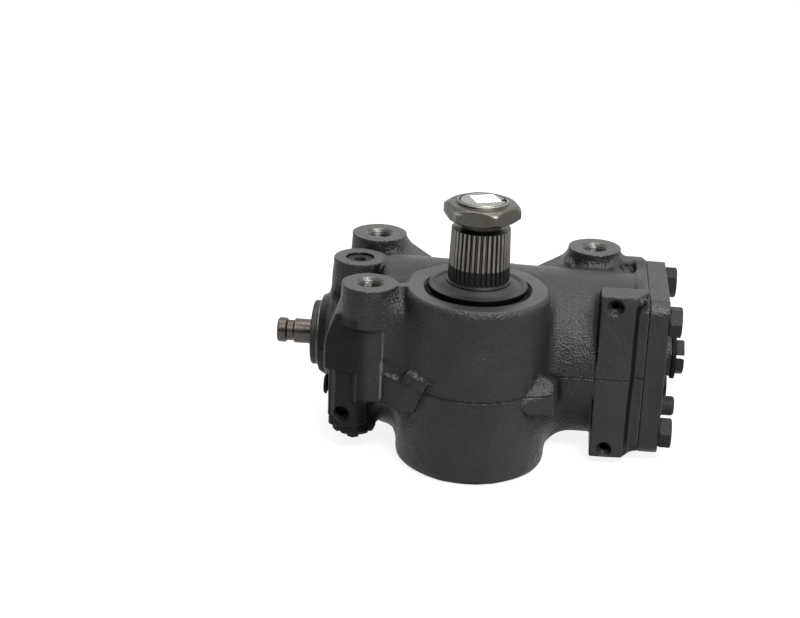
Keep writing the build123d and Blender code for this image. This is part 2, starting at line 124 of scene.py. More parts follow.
def cone_x(c, lo, hi, r_lo, r_hi, rnd=0.0):
    f, b = cone_z(c, lo, hi, r_lo, r_hi, rnd)
    r = max(r_lo, r_hi)
    return (lambda x, y, z: f(y, z, x)), ((lo, c[0] - r, c[1] - r), (hi, c[0] + r, c[1] + r))


def cone_y(c, lo, hi, r_lo, r_hi):
    slope = (r_hi - r_lo) / (hi - lo)
    k = 1 / math.sqrt(1 + slope * slope)

    def f(x, y, z):
        q = (np.sqrt((x - c[0]) ** 2 + (z - c[1]) ** 2) - (r_lo + slope * (y - lo))) * k
        return np.maximum(q, np.maximum(lo - y, y - hi))

    r = max(r_lo, r_hi)
    return f, ((c[0] - r, lo, c[1] - r), (c[0] + r, hi, c[1] + r))


def box(lo, hi, rnd=0.0):
    c = [(a + b) / 2 for a, b in zip(lo, hi)]
    s = [(b - a) / 2 - rnd for a, b in zip(lo, hi)]

    def f(x, y, z):
        q = [np.abs(v - m) - h for v, m, h in zip((x, y, z), c, s)]
        inner = np.minimum(np.maximum(np.maximum(q[0], q[1]), q[2]), 0)
        return inner + np.sqrt(sum(np.maximum(v, 0) ** 2 for v in q)) - rnd

    return f, (tuple(lo), tuple(hi))


def plate_x(lo, hi, cy, cz, hy, hz, corner, rnd=0.0):
    """A plate across X with rounded corners in its outline."""
    mid, half = (lo + hi) / 2, (hi - lo) / 2

    def f(x, y, z):
        a, b = np.abs(y - cy) - (hy - corner), np.abs(z - cz) - (hz - corner)
        q = np.minimum(np.maximum(a, b), 0) + np.sqrt(np.maximum(a, 0) ** 2 + np.maximum(b, 0) ** 2) - corner + rnd
        w = np.abs(x - mid) - (half - rnd)
        return np.minimum(np.maximum(q, w), 0) + np.sqrt(np.maximum(q, 0) ** 2 + np.maximum(w, 0) ** 2) - rnd

    return f, ((lo, cy - hy, cz - hz), (hi, cy + hy, cz + hz))


def convex(planes, bounds, rnd=0.0):
    """Intersection of half spaces (nx, ny, nz, px, py, pz), its edges rounded by rnd."""
    ps = []
    for nx, ny, nz, px, py, pz in planes:
        n = math.sqrt(nx * nx + ny * ny + nz * nz)
        nx, ny, nz = nx / n, ny / n, nz / n
        ps.append((nx, ny, nz, nx * px + ny * py + nz * pz))

    def f(x, y, z):
        d = None
        for nx, ny, nz, o in ps:
            v = nx * x + ny * y + nz * z - o
            if d is None:
                d = v + 0 * x + 0 * y + 0 * z
            elif rnd > 0:
                u, w = np.maximum(rnd + d, 0), np.maximum(rnd + v, 0)
                d = np.minimum(-rnd, np.maximum(d, v)) + np.sqrt(u * u + w * w)
            else:
                d = np.maximum(d, v)
        return d

    return f, bounds


def hex_prism(axis, c, af, lo, hi, turn=0.0, rnd=0.0):
    mid, half = (lo + hi) / 2, (hi - lo) / 2

    def f(x, y, z):
        p = {"x": (x, y, z), "y": (y, x, z), "z": (z, x, y)}[axis]
        u, v = p[1] - c[0], p[2] - c[1]
        q = None
        for k in range(3):
            a = turn + k * math.pi / 3
            d = np.abs(u * math.cos(a) + v * math.sin(a)) - af / 2
            if q is None:
                q = d
            elif rnd > 0:
                s, t = np.maximum(rnd + d, 0), np.maximum(rnd + q, 0)
                q = np.minimum(-rnd, np.maximum(d, q)) + np.sqrt(s * s + t * t)
            else:
                q = np.maximum(q, d)
        w = np.abs(p[0] - mid) - half
        if rnd > 0:
            s, t = np.maximum(rnd + q, 0), np.maximum(rnd + w, 0)
            return np.minimum(-rnd, np.maximum(q, w)) + np.sqrt(s * s + t * t)
        return np.maximum(q, w)

    r = af * 0.58
    if axis == "x":
        b = ((lo, c[0] - r, c[1] - r), (hi, c[0] + r, c[1] + r))
    elif axis == "y":
        b = ((c[0] - r, lo, c[1] - r), (c[0] + r, hi, c[1] + r))
    else:
        b = ((c[0] - r, c[1] - r, lo), (c[0] + r, c[1] + r, hi))
    return f, b


def capsule(a, b, r):
    a, b = np.array(a, float), np.array(b, float)
    ab = b - a

    def f(x, y, z):
        t = np.clip(((x - a[0]) * ab[0] + (y - a[1]) * ab[1] + (z - a[2]) * ab[2]) / (ab @ ab), 0, 1)
        return np.sqrt((x - a[0] - t * ab[0]) ** 2 + (y - a[1] - t * ab[1]) ** 2 + (z - a[2] - t * ab[2]) ** 2) - r

    return f, (tuple(np.minimum(a, b) - r), tuple(np.maximum(a, b) + r))


def turned_edge(axis, c, at, radius, slope):
    """Half space inside a cone: the distance grows outwards past radius and along the axis past at."""
    k = 1 / math.sqrt(1 + slope * slope)

    def f(x, y, z):
        q = {"x": (x, y, z), "y": (y, x, z), "z": (z, x, y)}[axis]
        r = np.sqrt((q[1] - c[0]) ** 2 + (q[2] - c[1]) ** 2)
        return ((r - radius) + (q[0] - at) * slope) * k

    return f, None


class Solid:
    """A list of additions and cuts, evaluated as one signed distance."""

    def __init__(self, reach=34.0):
        self.ops = []
        self.reach = reach

    def margin(self, kind, r):
        return max(self.reach if kind == "add" else 4.0, (30.0 if callable(r) else r) + 4.0)

    def add(self, shape, r=0.0):
        self.ops.append(("add", shape[0], shape[1], r))
        return self

    def cut(self, shape, r=0.0):
        self.ops.append(("cut", shape[0], shape[1], r))
        return self

    def keep(self, shape, r=0.0):
        self.ops.append(("keep", shape[0], shape[1], r))
        return self

    def warp(self, func, bounds):
        """Adds func to the distance inside bounds."""
        self.ops.append(("warp", func, bounds, 0.0))
        return self

    @staticmethod
    def _mix(kind, d, v, r):
        if kind == "add":
            return fillet_union(d, v, r)
        if kind == "cut":
            return round_cut(d, v, r)
        if kind == "keep":
            return round_cut(d, -v, r)
        return d + v

    def on_grid(self, xs, ys, zs):
        D = np.full((len(xs), len(ys), len(zs)), 50.0, dtype=np.float32)
        for kind, f, b, r in self.ops:
            if kind == "keep":
                v = f(xs[:, None, None], ys[None, :, None], zs[None, None, :])
                D = self._mix(kind, D, v, r).astype(np.float32)
                continue
            m = self.margin(kind, r)
            sl = tuple(slice(int(np.searchsorted(a, b[0][k] - m)), int(np.searchsorted(a, b[1][k] + m))) for k, a in enumerate((xs, ys, zs)))
            if any(s.stop <= s.start for s in sl):
                continue
            g = (xs[sl[0]][:, None, None], ys[sl[1]][None, :, None], zs[sl[2]][None, None, :])
            D[sl] = self._mix(kind, D[sl], f(*g), r(*g) if callable(r) else r)
        return D

    def at(self, P):
        x, y, z = P[:, 0], P[:, 1], P[:, 2]
        D = np.full(len(P), 50.0)
        for kind, f, b, r in self.ops:
            if kind == "keep":
                D = self._mix(kind, D, f(x, y, z), r)
                continue
            m = self.margin(kind, r)
            near = np.nonzero((x > b[0][0] - m) & (x < b[1][0] + m) & (y > b[0][1] - m) & (y < b[1][1] + m) & (z > b[0][2] - m) & (z < b[1][2] + m))[0]
            if len(near):
                g = (x[near], y[near], z[near])
                D[near] = self._mix(kind, D[near], f(*g), r(*g) if callable(r) else r)
        return D

    def gradient(self, P, e=0.02):
        g = np.empty_like(P)
        for k in range(3):
            s = np.zeros(3)
            s[k] = e
            g[:, k] = self.at(P + s) - self.at(P - s)
        n = np.linalg.norm(g, axis=1, keepdims=True)
        return g / np.maximum(n, 1e-9)


def contour(solid, xs, ys, zs):
    """Dual contouring of a solid on a rectilinear grid: corners and edges stay sharp. Returns points and quads."""
    D = solid.on_grid(xs, ys, zs)
    axes = (xs, ys, zs)
    shape = D.shape
    cells = tuple(n - 1 for n in shape)
    ids, pts, nrm, quads = [], [], [], []
    stride = (cells[1] * cells[2], cells[2], 1)
    for a in range(3):
        s0 = [slice(None)] * 3
        s1 = [slice(None)] * 3
        s0[a], s1[a] = slice(0, -1), slice(1, None)
        A, B = D[tuple(s0)], D[tuple(s1)]
        i = np.array(np.nonzero((A < 0) != (B < 0)))
        o1, o2 = [k for k in range(3) if k != a]
        ok = (i[o1] > 0) & (i[o2] > 0) & (i[o1] < cells[o1]) & (i[o2] < cells[o2])
        i = i[:, ok]
        da, db = A[tuple(i)].astype(float), B[tuple(i)].astype(float)
        P0 = np.stack([axes[k][i[k]] for k in range(3)], 1).astype(float)
        P1 = P0.copy()
        P1[:, a] = axes[a][i[a] + 1]
        lo, hi = np.zeros(len(da)), np.ones(len(da))
        t = da / (da - db)
        for _ in range(3):
            d = solid.at(P0 + (P1 - P0) * t[:, None])
            same = (d < 0) == (da < 0)
            lo = np.where(same, t, lo)
            hi = np.where(same, hi, t)
            da_, db_ = np.where(same, d, da), np.where(same, db, d)
            span = np.where(np.abs(da_ - db_) < 1e-9, 1e-9, da_ - db_)
            t = lo + (hi - lo) * np.clip(da_ / span, 0.02, 0.98)
            da, db = da_, db_
        P = P0 + (P1 - P0) * t[:, None]
        N = solid.gradient(P)
        cell = i[0] * stride[0] + i[1] * stride[1] + i[2] * stride[2]
        around = [cell - stride[o1] - stride[o2], cell - stride[o2], cell, cell - stride[o1]]
        flip = (D[tuple(i)] < 0) if a != 1 else (D[tuple(i)] >= 0)
        q = np.stack(around, 1)
        q[~flip] = q[~flip][:, ::-1]
        quads.append(q)
        for c in around:
            ids.append(c)
            pts.append(P)
            nrm.append(N)
    ids, pts, nrm = np.concatenate(ids), np.concatenate(pts), np.concatenate(nrm)
    cell_ids, inv = np.unique(ids, return_inverse=True)
    n = len(cell_ids)
    count = np.bincount(inv, minlength=n).astype(float)
    mean = np.stack([np.bincount(inv, pts[:, k], n) / count for k in range(3)], 1)
    rel = np.einsum("ij,ij->i", nrm, pts - mean[inv])
    ATA = np.empty((n, 3, 3))
    ATb = np.empty((n, 3))
    for r in range(3):
        for c in range(r, 3):
            ATA[:, r, c] = ATA[:, c, r] = np.bincount(inv, nrm[:, r] * nrm[:, c], n)
        ATb[:, r] = np.bincount(inv, nrm[:, r] * rel, n)
    ATA += np.eye(3)[None] * 0.02 * count[:, None, None]
    x = np.linalg.solve(ATA, ATb[..., None])[..., 0]
    ci = np.stack(np.unravel_index(cell_ids, cells), 1)
    lo = np.stack([axes[k][ci[:, k]] for k in range(3)], 1)
    hi = np.stack([axes[k][ci[:, k] + 1] for k in range(3)], 1)
    V = np.clip(mean + x, lo, hi)
    Q = np.searchsorted(cell_ids, np.concatenate(quads))
    return V, Q


def steps(lo, hi, h, fine=()):
    """Grid lines from lo to hi about h apart, closer inside each (centre, half width, step) of fine."""
    out = [lo]
    while out[-1] < hi:
        s = h
        for c, w, f in fine:
            if c - w - f < out[-1] < c + w:
                s = f
        out.append(out[-1] + s)
    return np.array(out) + 0.0131


# ------------------------------------------------------------------ smooth lattice noise for uneven castings
_rng = np.random.default_rng(7)
_lattice = _rng.random((32, 32, 32)) * 2 - 1


def lumps(P, size):
    q = P / size
    i = np.floor(q).astype(int)
    f = q - i
    f = f * f * (3 - 2 * f)
    out = 0
    for dx in (0, 1):
        for dy in (0, 1):
            for dz in (0, 1):
                w = (f[:, 0] if dx else 1 - f[:, 0]) * (f[:, 1] if dy else 1 - f[:, 1]) * (f[:, 2] if dz else 1 - f[:, 2])
                out = out + w * _lattice[(i[:, 0] + dx) % 32, (i[:, 1] + dy) % 32, (i[:, 2] + dz) % 32]
    return out


# ------------------------------------------------------------------ meshes
def add_mesh(name, V, faces, body, material, nodes=(), normals=None, attrs=None, smooth=True):
    """A mesh object in metres from millimetre points and an (n, 3) or (n, 4) index array, or a list of them."""
    me = bpy.data.meshes.new(name)
    V = np.asarray(V, dtype=np.float32) * MM
    faces = faces if isinstance(faces, list) else [faces]
    faces = [np.asarray(f, dtype=np.int32) for f in faces if len(f)]
    me.vertices.add(len(V))
    me.vertices.foreach_set("co", V.ravel())
    loops = np.concatenate([f.ravel() for f in faces])
    sizes = np.concatenate([np.full(len(f), f.shape[1]) for f in faces])
    starts = np.concatenate([[0], np.cumsum(sizes)[:-1]])
    me.loops.add(len(loops))
    me.loops.foreach_set("vertex_index", loops)
    me.polygons.add(len(sizes))
    me.polygons.foreach_set("loop_start", starts.astype(np.int32))
    me.update(calc_edges=True)
    me.validate()
    for key, val in (attrs or {}).items():
        at = me.attributes.new(key, "FLOAT", "POINT")
        at.data.foreach_set("value", np.asarray(val, dtype=np.float32))
    me.polygons.foreach_set("use_smooth", np.full(len(me.polygons), smooth))
    if normals is not None:
        me.normals_split_custom_set_from_vertices(np.asarray(normals, dtype=np.float32))
    ob = bpy.data.objects.new(name, me)
    bpy.context.scene.collection.objects.link(ob)
    me.materials.append(material)
    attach(ob, body)
    if nodes:
        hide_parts(*nodes)
    return ob


def solid_mesh(name, solid, grids, body, material, nodes=(), uneven=None, mask=None, soft=0.3, more=None):
    V, Q = contour(solid, *grids)
    N = solid.gradient(V, soft)
    attrs = {k: f(V, N) for k, f in (more or {}).items()}
    if mask is not None:
        attrs["machined"] = mask(V, N)
    if uneven is not None:
        amount = uneven(V, N)
        if mask is not None:
            amount = amount * (1 - attrs["machined"])
        e = 0.4
        g = np.stack([(uneven(V + s, N) - uneven(V - s, N)) / (2 * e) for s in np.eye(3) * e], 1)
        if mask is not None:
            g = g * (1 - attrs["machined"])[:, None]
        V = V + N * amount[:, None]
        N = N - (g - N * np.einsum("ij,ij->i", g, N)[:, None])
        N /= np.linalg.norm(N, axis=1, keepdims=True)
    return add_mesh(name, V, Q, body, material, nodes, N, attrs)


def solids_mesh(name, items, body, material, nodes=(), uneven=None, soft=0.12, attrs=None):
    """Several solids, each with its own grid, as one mesh object."""
    Vs, Qs, Ns, n = [], [], [], 0
    for solid, grids in items:
        V, Q = contour(solid, *grids)
        N = solid.gradient(V, soft)
        Vs.append(V)
        Qs.append(Q + n)
        Ns.append(N)
        n += len(V)
    V, Q, N = np.concatenate(Vs), np.concatenate(Qs), np.concatenate(Ns)
    values = {k: f(V, N) for k, f in (attrs or {}).items()}
    if uneven is not None:
        e = 0.3
        g = np.stack([(uneven(V + d, N) - uneven(V - d, N)) / (2 * e) for d in np.eye(3) * e], 1)
        V = V + N * uneven(V, N)[:, None]
        N = N - (g - N * np.einsum("ij,ij->i", g, N)[:, None])
        N /= np.linalg.norm(N, axis=1, keepdims=True)
    return add_mesh(name, V, Q, body, material, nodes, N, values)


def body_for(node):
    return body_of(frame["nodes"][node])[0]


def revolve(profile, axis, c, n=128, closed=True):
    """Points and quads of a ring of revolution from a closed (radius, height) profile."""
    p = np.array(profile, float)
    a = np.arange(n) * 2 * math.pi / n
    R, A = np.meshgrid(p[:, 0], a, indexing="ij")
    Hh = np.repeat(p[:, 1][:, None], n, 1)
    u, v = R * np.cos(A), R * np.sin(A)
    if axis == "z":
        P = np.stack([c[0] + u, c[1] + v, Hh], -1)
    elif axis == "x":
        P = np.stack([Hh, c[0] + u, c[1] + v], -1)
    else:
        P = np.stack([c[0] + v, Hh, c[1] + u], -1)
    m = len(p)
    i = np.arange(m) if closed else np.arange(m - 1)
    j = np.arange(n)
    I, J = np.meshgrid(i, j, indexing="ij")
    I2, J2 = (I + 1) % m, (J + 1) % n
    Q = np.stack([I * n + J, I * n + J2, I2 * n + J2, I2 * n + J], -1).reshape(-1, 4)
    return P.reshape(-1, 3), Q


def area_of(profile):
    p = np.array(profile, float)
    q = np.roll(p, -1, 0)
    return float(np.sum(p[:, 0] * q[:, 1] - q[:, 0] * p[:, 1]))


def rounded(profile, r=0.4, seg=3):
    """A closed profile with each corner replaced by a short arc."""
    p = np.array(profile, float)
    out = []
    m = len(p)
    for k in range(m):
        a, b, c = p[k - 1], p[k], p[(k + 1) % m]
        u, v = a - b, c - b
        lu, lv = np.linalg.norm(u), np.linalg.norm(v)
        if lu < 1e-6 or lv < 1e-6:
            continue
        u, v = u / lu, v / lv
        if b[0] < 1e-6 or abs(np.dot(u, v)) > 0.999:
            out.append(b)
            continue
        cut = min(r, lu * 0.45, lv * 0.45)
        for t in np.linspace(0, 1, seg + 1):
            out.append((1 - t) ** 2 * (b + u * cut) + 2 * t * (1 - t) * b + t * t * (b + v * cut))
    return out


def lathe(name, profile, axis, c, body, material, nodes=(), r=0.4, n=128, seg=3):
    prof = rounded(profile, r, seg) if r else [np.array(q, float) for q in profile]
    if area_of(prof) < 0:
        prof = prof[::-1]
    V, Q = revolve(prof, axis, c, n)
    if axis == "z":
        Q = Q[:, ::-1]
    V, Q = weld(V, Q)
    return add_mesh(name, V, Q, body, material, nodes)


def weld(V, Q):
    """Joins equal points and drops the faces that this leaves without an area."""
    key = np.round(V * 1e4).astype(np.int64)
    _, first, inv = np.unique(key, axis=0, return_index=True, return_inverse=True)
    inv = inv.ravel()
    V2, Q2 = V[first], inv[Q]
    quads, tris = [], []
    for q in Q2:
        u = []
        for k in q:
            if k not in u:
                u.append(int(k))
        if len(u) == 4:
            quads.append(u)
        elif len(u) == 3:
            tris.append(u)
    return V2, [np.array(quads, dtype=np.int32).reshape(-1, 4), np.array(tris, dtype=np.int32).reshape(-1, 3)]


# ------------------------------------------------------------------ materials
def material(name, slot_color=None):
    m = bpy.data.materials.new(name)
    m.use_nodes = True
    nt = m.node_tree
    nt.nodes.clear()
    out = nt.nodes.new("ShaderNodeOutputMaterial")
    b = nt.nodes.new("ShaderNodeBsdfPrincipled")
    nt.links.new(b.outputs[0], out.inputs[0])
    return m, nt, b


class Nodes:
    """Short names for the node set-ups that the materials share."""

    def __init__(self, nt, coord="Object"):
        self.nt = nt
        self.tc = nt.nodes.new("ShaderNodeTexCoord").outputs[coord]

    def new(self, kind, **values):
        n = self.nt.nodes.new(kind)
        for k, v in values.items():
            setattr(n, k, v)
        return n

    def link(self, a, b):
        self.nt.links.new(a, b)

    def noise(self, scale, detail=4.0, rough=0.55, vector=None, distortion=0.0):
        n = self.new("ShaderNodeTexNoise")
        n.inputs["Scale"].default_value = scale
        n.inputs["Detail"].default_value = detail
        n.inputs["Roughness"].default_value = rough
        n.inputs["Distortion"].default_value = distortion
        self.link(vector or self.tc, n.inputs["Vector"])
        return n.outputs["Fac"]

    def voronoi(self, scale, feature="F1", vector=None, out="Distance", randomness=1.0):
        n = self.new("ShaderNodeTexVoronoi", feature=feature)
        n.inputs["Scale"].default_value = scale
        n.inputs["Randomness"].default_value = randomness
        self.link(vector or self.tc, n.inputs["Vector"])
        return n.outputs[out]

    def stretch(self, sx, sy, sz):
        n = self.new("ShaderNodeMapping")
        n.inputs["Scale"].default_value = (sx, sy, sz)
        self.link(self.tc, n.inputs["Vector"])
        return n.outputs[0]

    def ramp(self, value, lo, hi, out_lo=0.0, out_hi=1.0, smooth=True):
        n = self.new("ShaderNodeMapRange", interpolation_type="SMOOTHSTEP" if smooth else "LINEAR")
        n.inputs["From Min"].default_value = lo
        n.inputs["From Max"].default_value = hi
        n.inputs["To Min"].default_value = out_lo
        n.inputs["To Max"].default_value = out_hi
        self.link(value, n.inputs["Value"])
        return n.outputs[0]

    def math(self, op, a, b=None, c=None):
        n = self.new("ShaderNodeMath", operation=op)
        for k, v in enumerate((a, b, c)):
            if v is None:
                continue
            if isinstance(v, (int, float)):
                n.inputs[k].default_value = v
            else:
                self.link(v, n.inputs[k])
        return n.outputs[0]

    def mix(self, fac, a, b):
        n = self.new("ShaderNodeMix", data_type="RGBA")
        for key, v in (("Factor", fac), ("A", a), ("B", b)):
            sock = [s for s in n.inputs if s.name == key and (s.type == "RGBA" or key == "Factor" and s.type == "VALUE")][0]
            if isinstance(v, (int, float)):
                sock.default_value = v
            elif isinstance(v, tuple):
                sock.default_value = (*v, 1.0)
            else:
                self.link(v, sock)
        return [o for o in n.outputs if o.type == "RGBA"][0]

    def attr(self, name):
        n = self.new("ShaderNodeAttribute", attribute_name=name)
        return n.outputs["Fac"]

    def bump(self, height, distance, strength=1.0, normal=None):
        n = self.new("ShaderNodeBump")
        n.inputs["Distance"].default_value = distance
        if isinstance(strength, (int, float)):
            n.inputs["Strength"].default_value = strength
        else:
            self.link(strength, n.inputs["Strength"])
        self.link(height, n.inputs["Height"])
        if normal is not None:
            self.link(normal, n.inputs["Normal"])
        return n.outputs[0]

    def axis(self, k):
        n = self.new("ShaderNodeSeparateXYZ")
        self.link(self.tc, n.inputs[0])
        return n.outputs[k]


def paint(name, dark=(0.0060, 0.0061, 0.0062), light=(0.0098, 0.0098, 0.0096), rough=0.40, sand=1.0, masked=True, level=0.255):
    """Satin black paint over a sand casting; machined faces are smoother and a little lighter. The masked version also
    paints highlight and shade into the colour from mesh attributes.
    """
    m, nt, b = material(name)
    n = Nodes(nt)
    mask = n.attr("machined") if masked else None
    cloud = n.noise(28.0, 5.0, 0.6)
    fine = n.noise(420.0, 3.0, 0.6)
    color = n.mix(n.ramp(cloud, 0.35, 0.68), dark, light)
    dust = n.ramp(n.noise(900.0, 2.0, 0.5), 0.62, 0.78, 0.0, 0.35)
    color = n.mix(dust, color, (0.035, 0.035, 0.035))
    if masked:
        color = n.mix(n.math("MULTIPLY", mask, 0.55), color, (0.026, 0.0261, 0.0258))
        # painted highlight: lighter colour where wear_and_highlight is set
        color = n.mix(n.attr("wear_and_highlight"), color, (0.17, 0.165, 0.155))
        # painted shade: darker colour where half_shade is set
        color = n.mix(n.attr("half_shade"), color, (0.0042, 0.0043, 0.0043))
        # painted shade: colour near black where shade is set
        color = n.mix(n.attr("shade"), color, (0.0016, 0.0016, 0.0016))
    nt.links.new(color, b.inputs["Base Color"])
    r = n.ramp(n.math("ADD", n.math("MULTIPLY", cloud, 0.6), n.math("MULTIPLY", fine, 0.4)), 0.3, 0.7, rough - 0.06, rough + 0.08)
    nt.links.new(r, b.inputs["Roughness"])
    if masked:
        # painted shade: half_shade lowers the specular level to 0.42 of level
        spec = n.ramp(n.attr("half_shade"), 0.0, 1.0, level, level * 0.42, False)
        # painted shade: shade cuts the specular level to 0.12 of the rest
        nt.links.new(n.math("MULTIPLY", spec, n.ramp(n.attr("shade"), 0.0, 1.0, 1.0, 0.12, False)), b.inputs["Specular IOR Level"])
    else:
        b.inputs["Specular IOR Level"].default_value = level
    grain = n.math("ADD", n.math("MULTIPLY", n.noise(700.0, 3.0, 0.6), 0.6), n.math("MULTIPLY", n.voronoi(520.0), 0.5))
    skin = n.noise(120.0, 3.0, 0.5)
    if masked:
        keep = n.math("SUBTRACT", 1.0, n.math("MULTIPLY", mask, 0.86))
    else:
        keep = 1.0
    h1 = n.bump(grain, 0.0011 * sand, keep)
    h2 = n.bump(skin, 0.0006 * sand, keep, h1)
    nt.links.new(h2, b.inputs["Normal"])
    return m


def steel(name, color, rough=0.34, brush=(1, 1, 1), scale=700.0, stain=(0.5, 0.45, 0.4), stain_amount=0.35, bump=0.00004, metallic=1.0, spots=0.0, wear_and_highlight=False, bore_shade_radius=None):
    """Bare metal with turning or brushing marks, stains and small pits."""
    m, nt, b = material(name)
    n = Nodes(nt)
    marks = n.noise(scale, 3.0, 0.6, n.stretch(*brush))
    cloud = n.noise(45.0, 5.0, 0.6)
    c = n.mix(n.ramp(marks, 0.3, 0.7), tuple(v * 0.78 for v in color), tuple(min(1, v * 1.18) for v in color))
    c = n.mix(n.ramp(cloud, 0.48, 0.74, 0.0, stain_amount), c, tuple(v * s for v, s in zip(color, stain)))
    if spots:
        c = n.mix(n.ramp(n.noise(310.0, 3.0, 0.6), 0.60, 0.72, 0.0, spots), c, tuple(v * 0.25 for v in color))
    if wear_and_highlight:
        # edge wear and painted highlight: lighter colour where wear_and_highlight is set
        c = n.mix(n.math("MULTIPLY", n.attr("wear_and_highlight"), n.ramp(n.noise(500.0, 2.0, 0.5), 0.3, 0.6, 0.4, 1.0)), c, (0.34, 0.33, 0.30))
    # painted shade: inside bore_shade_radius the colour drops to a tenth, for the gap round the shaft
    if bore_shade_radius:
        x, y = n.axis(0), n.axis(1)
        radius = n.math("SQRT", n.math("ADD", n.math("MULTIPLY", x, x), n.math("MULTIPLY", y, y)))
        c = n.mix(n.ramp(radius, bore_shade_radius, bore_shade_radius + 0.0005, 1.0, 0.0), c, tuple(v * 0.10 for v in color))
    nt.links.new(c, b.inputs["Base Color"])
    b.inputs["Metallic"].default_value = metallic
    r = n.ramp(n.math("ADD", n.math("MULTIPLY", marks, 0.4), n.math("MULTIPLY", cloud, 0.6)), 0.3, 0.7, rough - 0.08, rough + 0.14)
    nt.links.new(r, b.inputs["Roughness"])
    h = n.bump(marks, bump)
    h = n.bump(n.noise(260.0, 4.0, 0.6), bump * 1.5, 1.0, h)
    nt.links.new(h, b.inputs["Normal"])
    return m


def rubber(name, color=(0.0075, 0.0075, 0.0078), rough=0.46, lip_shade_radius=None):
    m, nt, b = material(name)
    n = Nodes(nt)
    bloom = n.noise(70.0, 5.0, 0.65)
    c = n.mix(n.ramp(bloom, 0.42, 0.75, 0.0, 0.6), color, tuple(v * 2.1 for v in color))
    nt.links.new(n.ramp(bloom, 0.3, 0.7, rough - 0.08, rough + 0.12), b.inputs["Roughness"])
    # painted shade: past lip_shade_radius, on the side of the cap's lip, the colour goes near black and the specular
    # level drops
    if lip_shade_radius:
        x, y = n.axis(0), n.axis(1)
        side = n.ramp(n.math("SQRT", n.math("ADD", n.math("MULTIPLY", x, x), n.math("MULTIPLY", y, y))), lip_shade_radius, lip_shade_radius + 0.0006)
        c = n.mix(side, c, (0.0012, 0.0012, 0.0012))
        nt.links.new(n.ramp(side, 0.0, 1.0, 0.23, 0.02, False), b.inputs["Specular IOR Level"])
    else:
        b.inputs["Specular IOR Level"].default_value = 0.23
    nt.links.new(c, b.inputs["Base Color"])
    h = n.bump(n.noise(900.0, 3.0, 0.5), 0.00006)
    nt.links.new(n.bump(n.noise(90.0, 2.0, 0.5), 0.00015, 1.0, h), b.inputs["Normal"])
    return m


def plain_detail(name, color, rough, metallic=0.0, grain=400.0):
    m, nt, b = material(name)
    n = Nodes(nt)
    v = n.noise(grain, 4.0, 0.6)
    w = n.noise(30.0, 4.0, 0.6)
    c = n.mix(n.ramp(v, 0.3, 0.7), tuple(x * 0.82 for x in color), tuple(min(1.0, x * 1.12) for x in color))
    c = n.mix(n.ramp(w, 0.5, 0.75, 0.0, 0.4), c, tuple(x * 0.6 for x in color))
    nt.links.new(c, b.inputs["Base Color"])
    b.inputs["Metallic"].default_value = metallic
    nt.links.new(n.ramp(w, 0.3, 0.7, rough - 0.07, rough + 0.1), b.inputs["Roughness"])
    nt.links.new(n.bump(v, 0.00005), b.inputs["Normal"])
    return m


M_CAST = paint("paint_cast")
M_COVER = paint("paint_cover", sand=0.55)
M_BOLT = paint("paint_fastener", (0.0085, 0.0086, 0.0087), (0.013, 0.013, 0.0128), rough=0.54, sand=0.45, masked=False, level=0.105)
# near-black matt coat for the limiter washer: its black finish, made darker still as painted shade for the gap beside
# the cover
M_MATT_SHADED = paint("coating_matt_and_shade", (0.0030, 0.0030, 0.0031), (0.0055, 0.0055, 0.0055), rough=0.62, sand=0.3, masked=False, level=0.06)
def shaft_steel(name):
    """Forged shaft: painted shade in the valleys between the serrations against brighter tips, a band of painted shade
    on the neck under the nut, a lighter end, and a black band of paint at the lower end.
    """
    m, nt, b = material(name)
    n = Nodes(nt)
    x, y, z = n.axis(0), n.axis(1), n.axis(2)
    radius = n.math("SQRT", n.math("ADD", n.math("MULTIPLY", x, x), n.math("MULTIPLY", y, y)))
    tip = n.math("ADD", radius, n.math("MULTIPLY", z, 0.0307))
    valley_shade = n.ramp(tip, 0.0246, 0.0262)
    marks = n.noise(520.0, 3.0, 0.6, n.stretch(1, 1, 0.12))
    cloud = n.noise(60.0, 5.0, 0.6)
    steel_c = n.mix(valley_shade, (0.042, 0.039, 0.033), (0.175, 0.168, 0.147))
    steel_c = n.mix(n.ramp(marks, 0.35, 0.7, 0.0, 0.5), steel_c, (0.075, 0.070, 0.058))
    # painted shade: darker band on the neck under the nut
    steel_c = n.mix(n.ramp(z, 0.0535, 0.0555), steel_c, (0.050, 0.046, 0.037))
    steel_c = n.mix(n.ramp(z, 0.0700, 0.0745), steel_c, (0.21, 0.21, 0.20))
    edge = n.math("ADD", z, n.math("MULTIPLY", n.math("SUBTRACT", n.noise(240.0, 3.0, 0.6), 0.5), 0.0022))
    black = n.ramp(edge, 0.0214, 0.0222, 1.0, 0.0)
    nt.links.new(n.mix(black, steel_c, (0.0050, 0.0050, 0.0053)), b.inputs["Base Color"])
    nt.links.new(n.ramp(black, 0.0, 1.0, 1.0, 0.0, False), b.inputs["Metallic"])
    nt.links.new(n.ramp(cloud, 0.3, 0.7, 0.26, 0.46), b.inputs["Roughness"])
    b.inputs["Specular IOR Level"].default_value = 0.16
    h = n.bump(marks, 0.00004)
    nt.links.new(n.bump(cloud, 0.00008, 1.0, h), b.inputs["Normal"])
    return m


def label_paper(name):
    """White label stock, left blank: only faint grey smudges."""
    m, nt, b = material(name)
    n = Nodes(nt)
    smudge = n.ramp(n.noise(330.0, 4.0, 0.65, n.stretch(1, 1, 1), 0.8), 0.52, 0.72, 0.0, 0.75)
    away = n.noise(95.0, 2.0, 0.5)
    c = n.mix(n.math("MULTIPLY", smudge, n.ramp(away, 0.4, 0.6)), (0.80, 0.81, 0.82), (0.40, 0.41, 0.43))
    nt.links.new(c, b.inputs["Base Color"])
    nt.links.new(n.ramp(away, 0.3, 0.7, 0.38, 0.55), b.inputs["Roughness"])
    nt.links.new(n.bump(n.noise(420.0, 2.0, 0.5), 0.00003), b.inputs["Normal"])
    return m


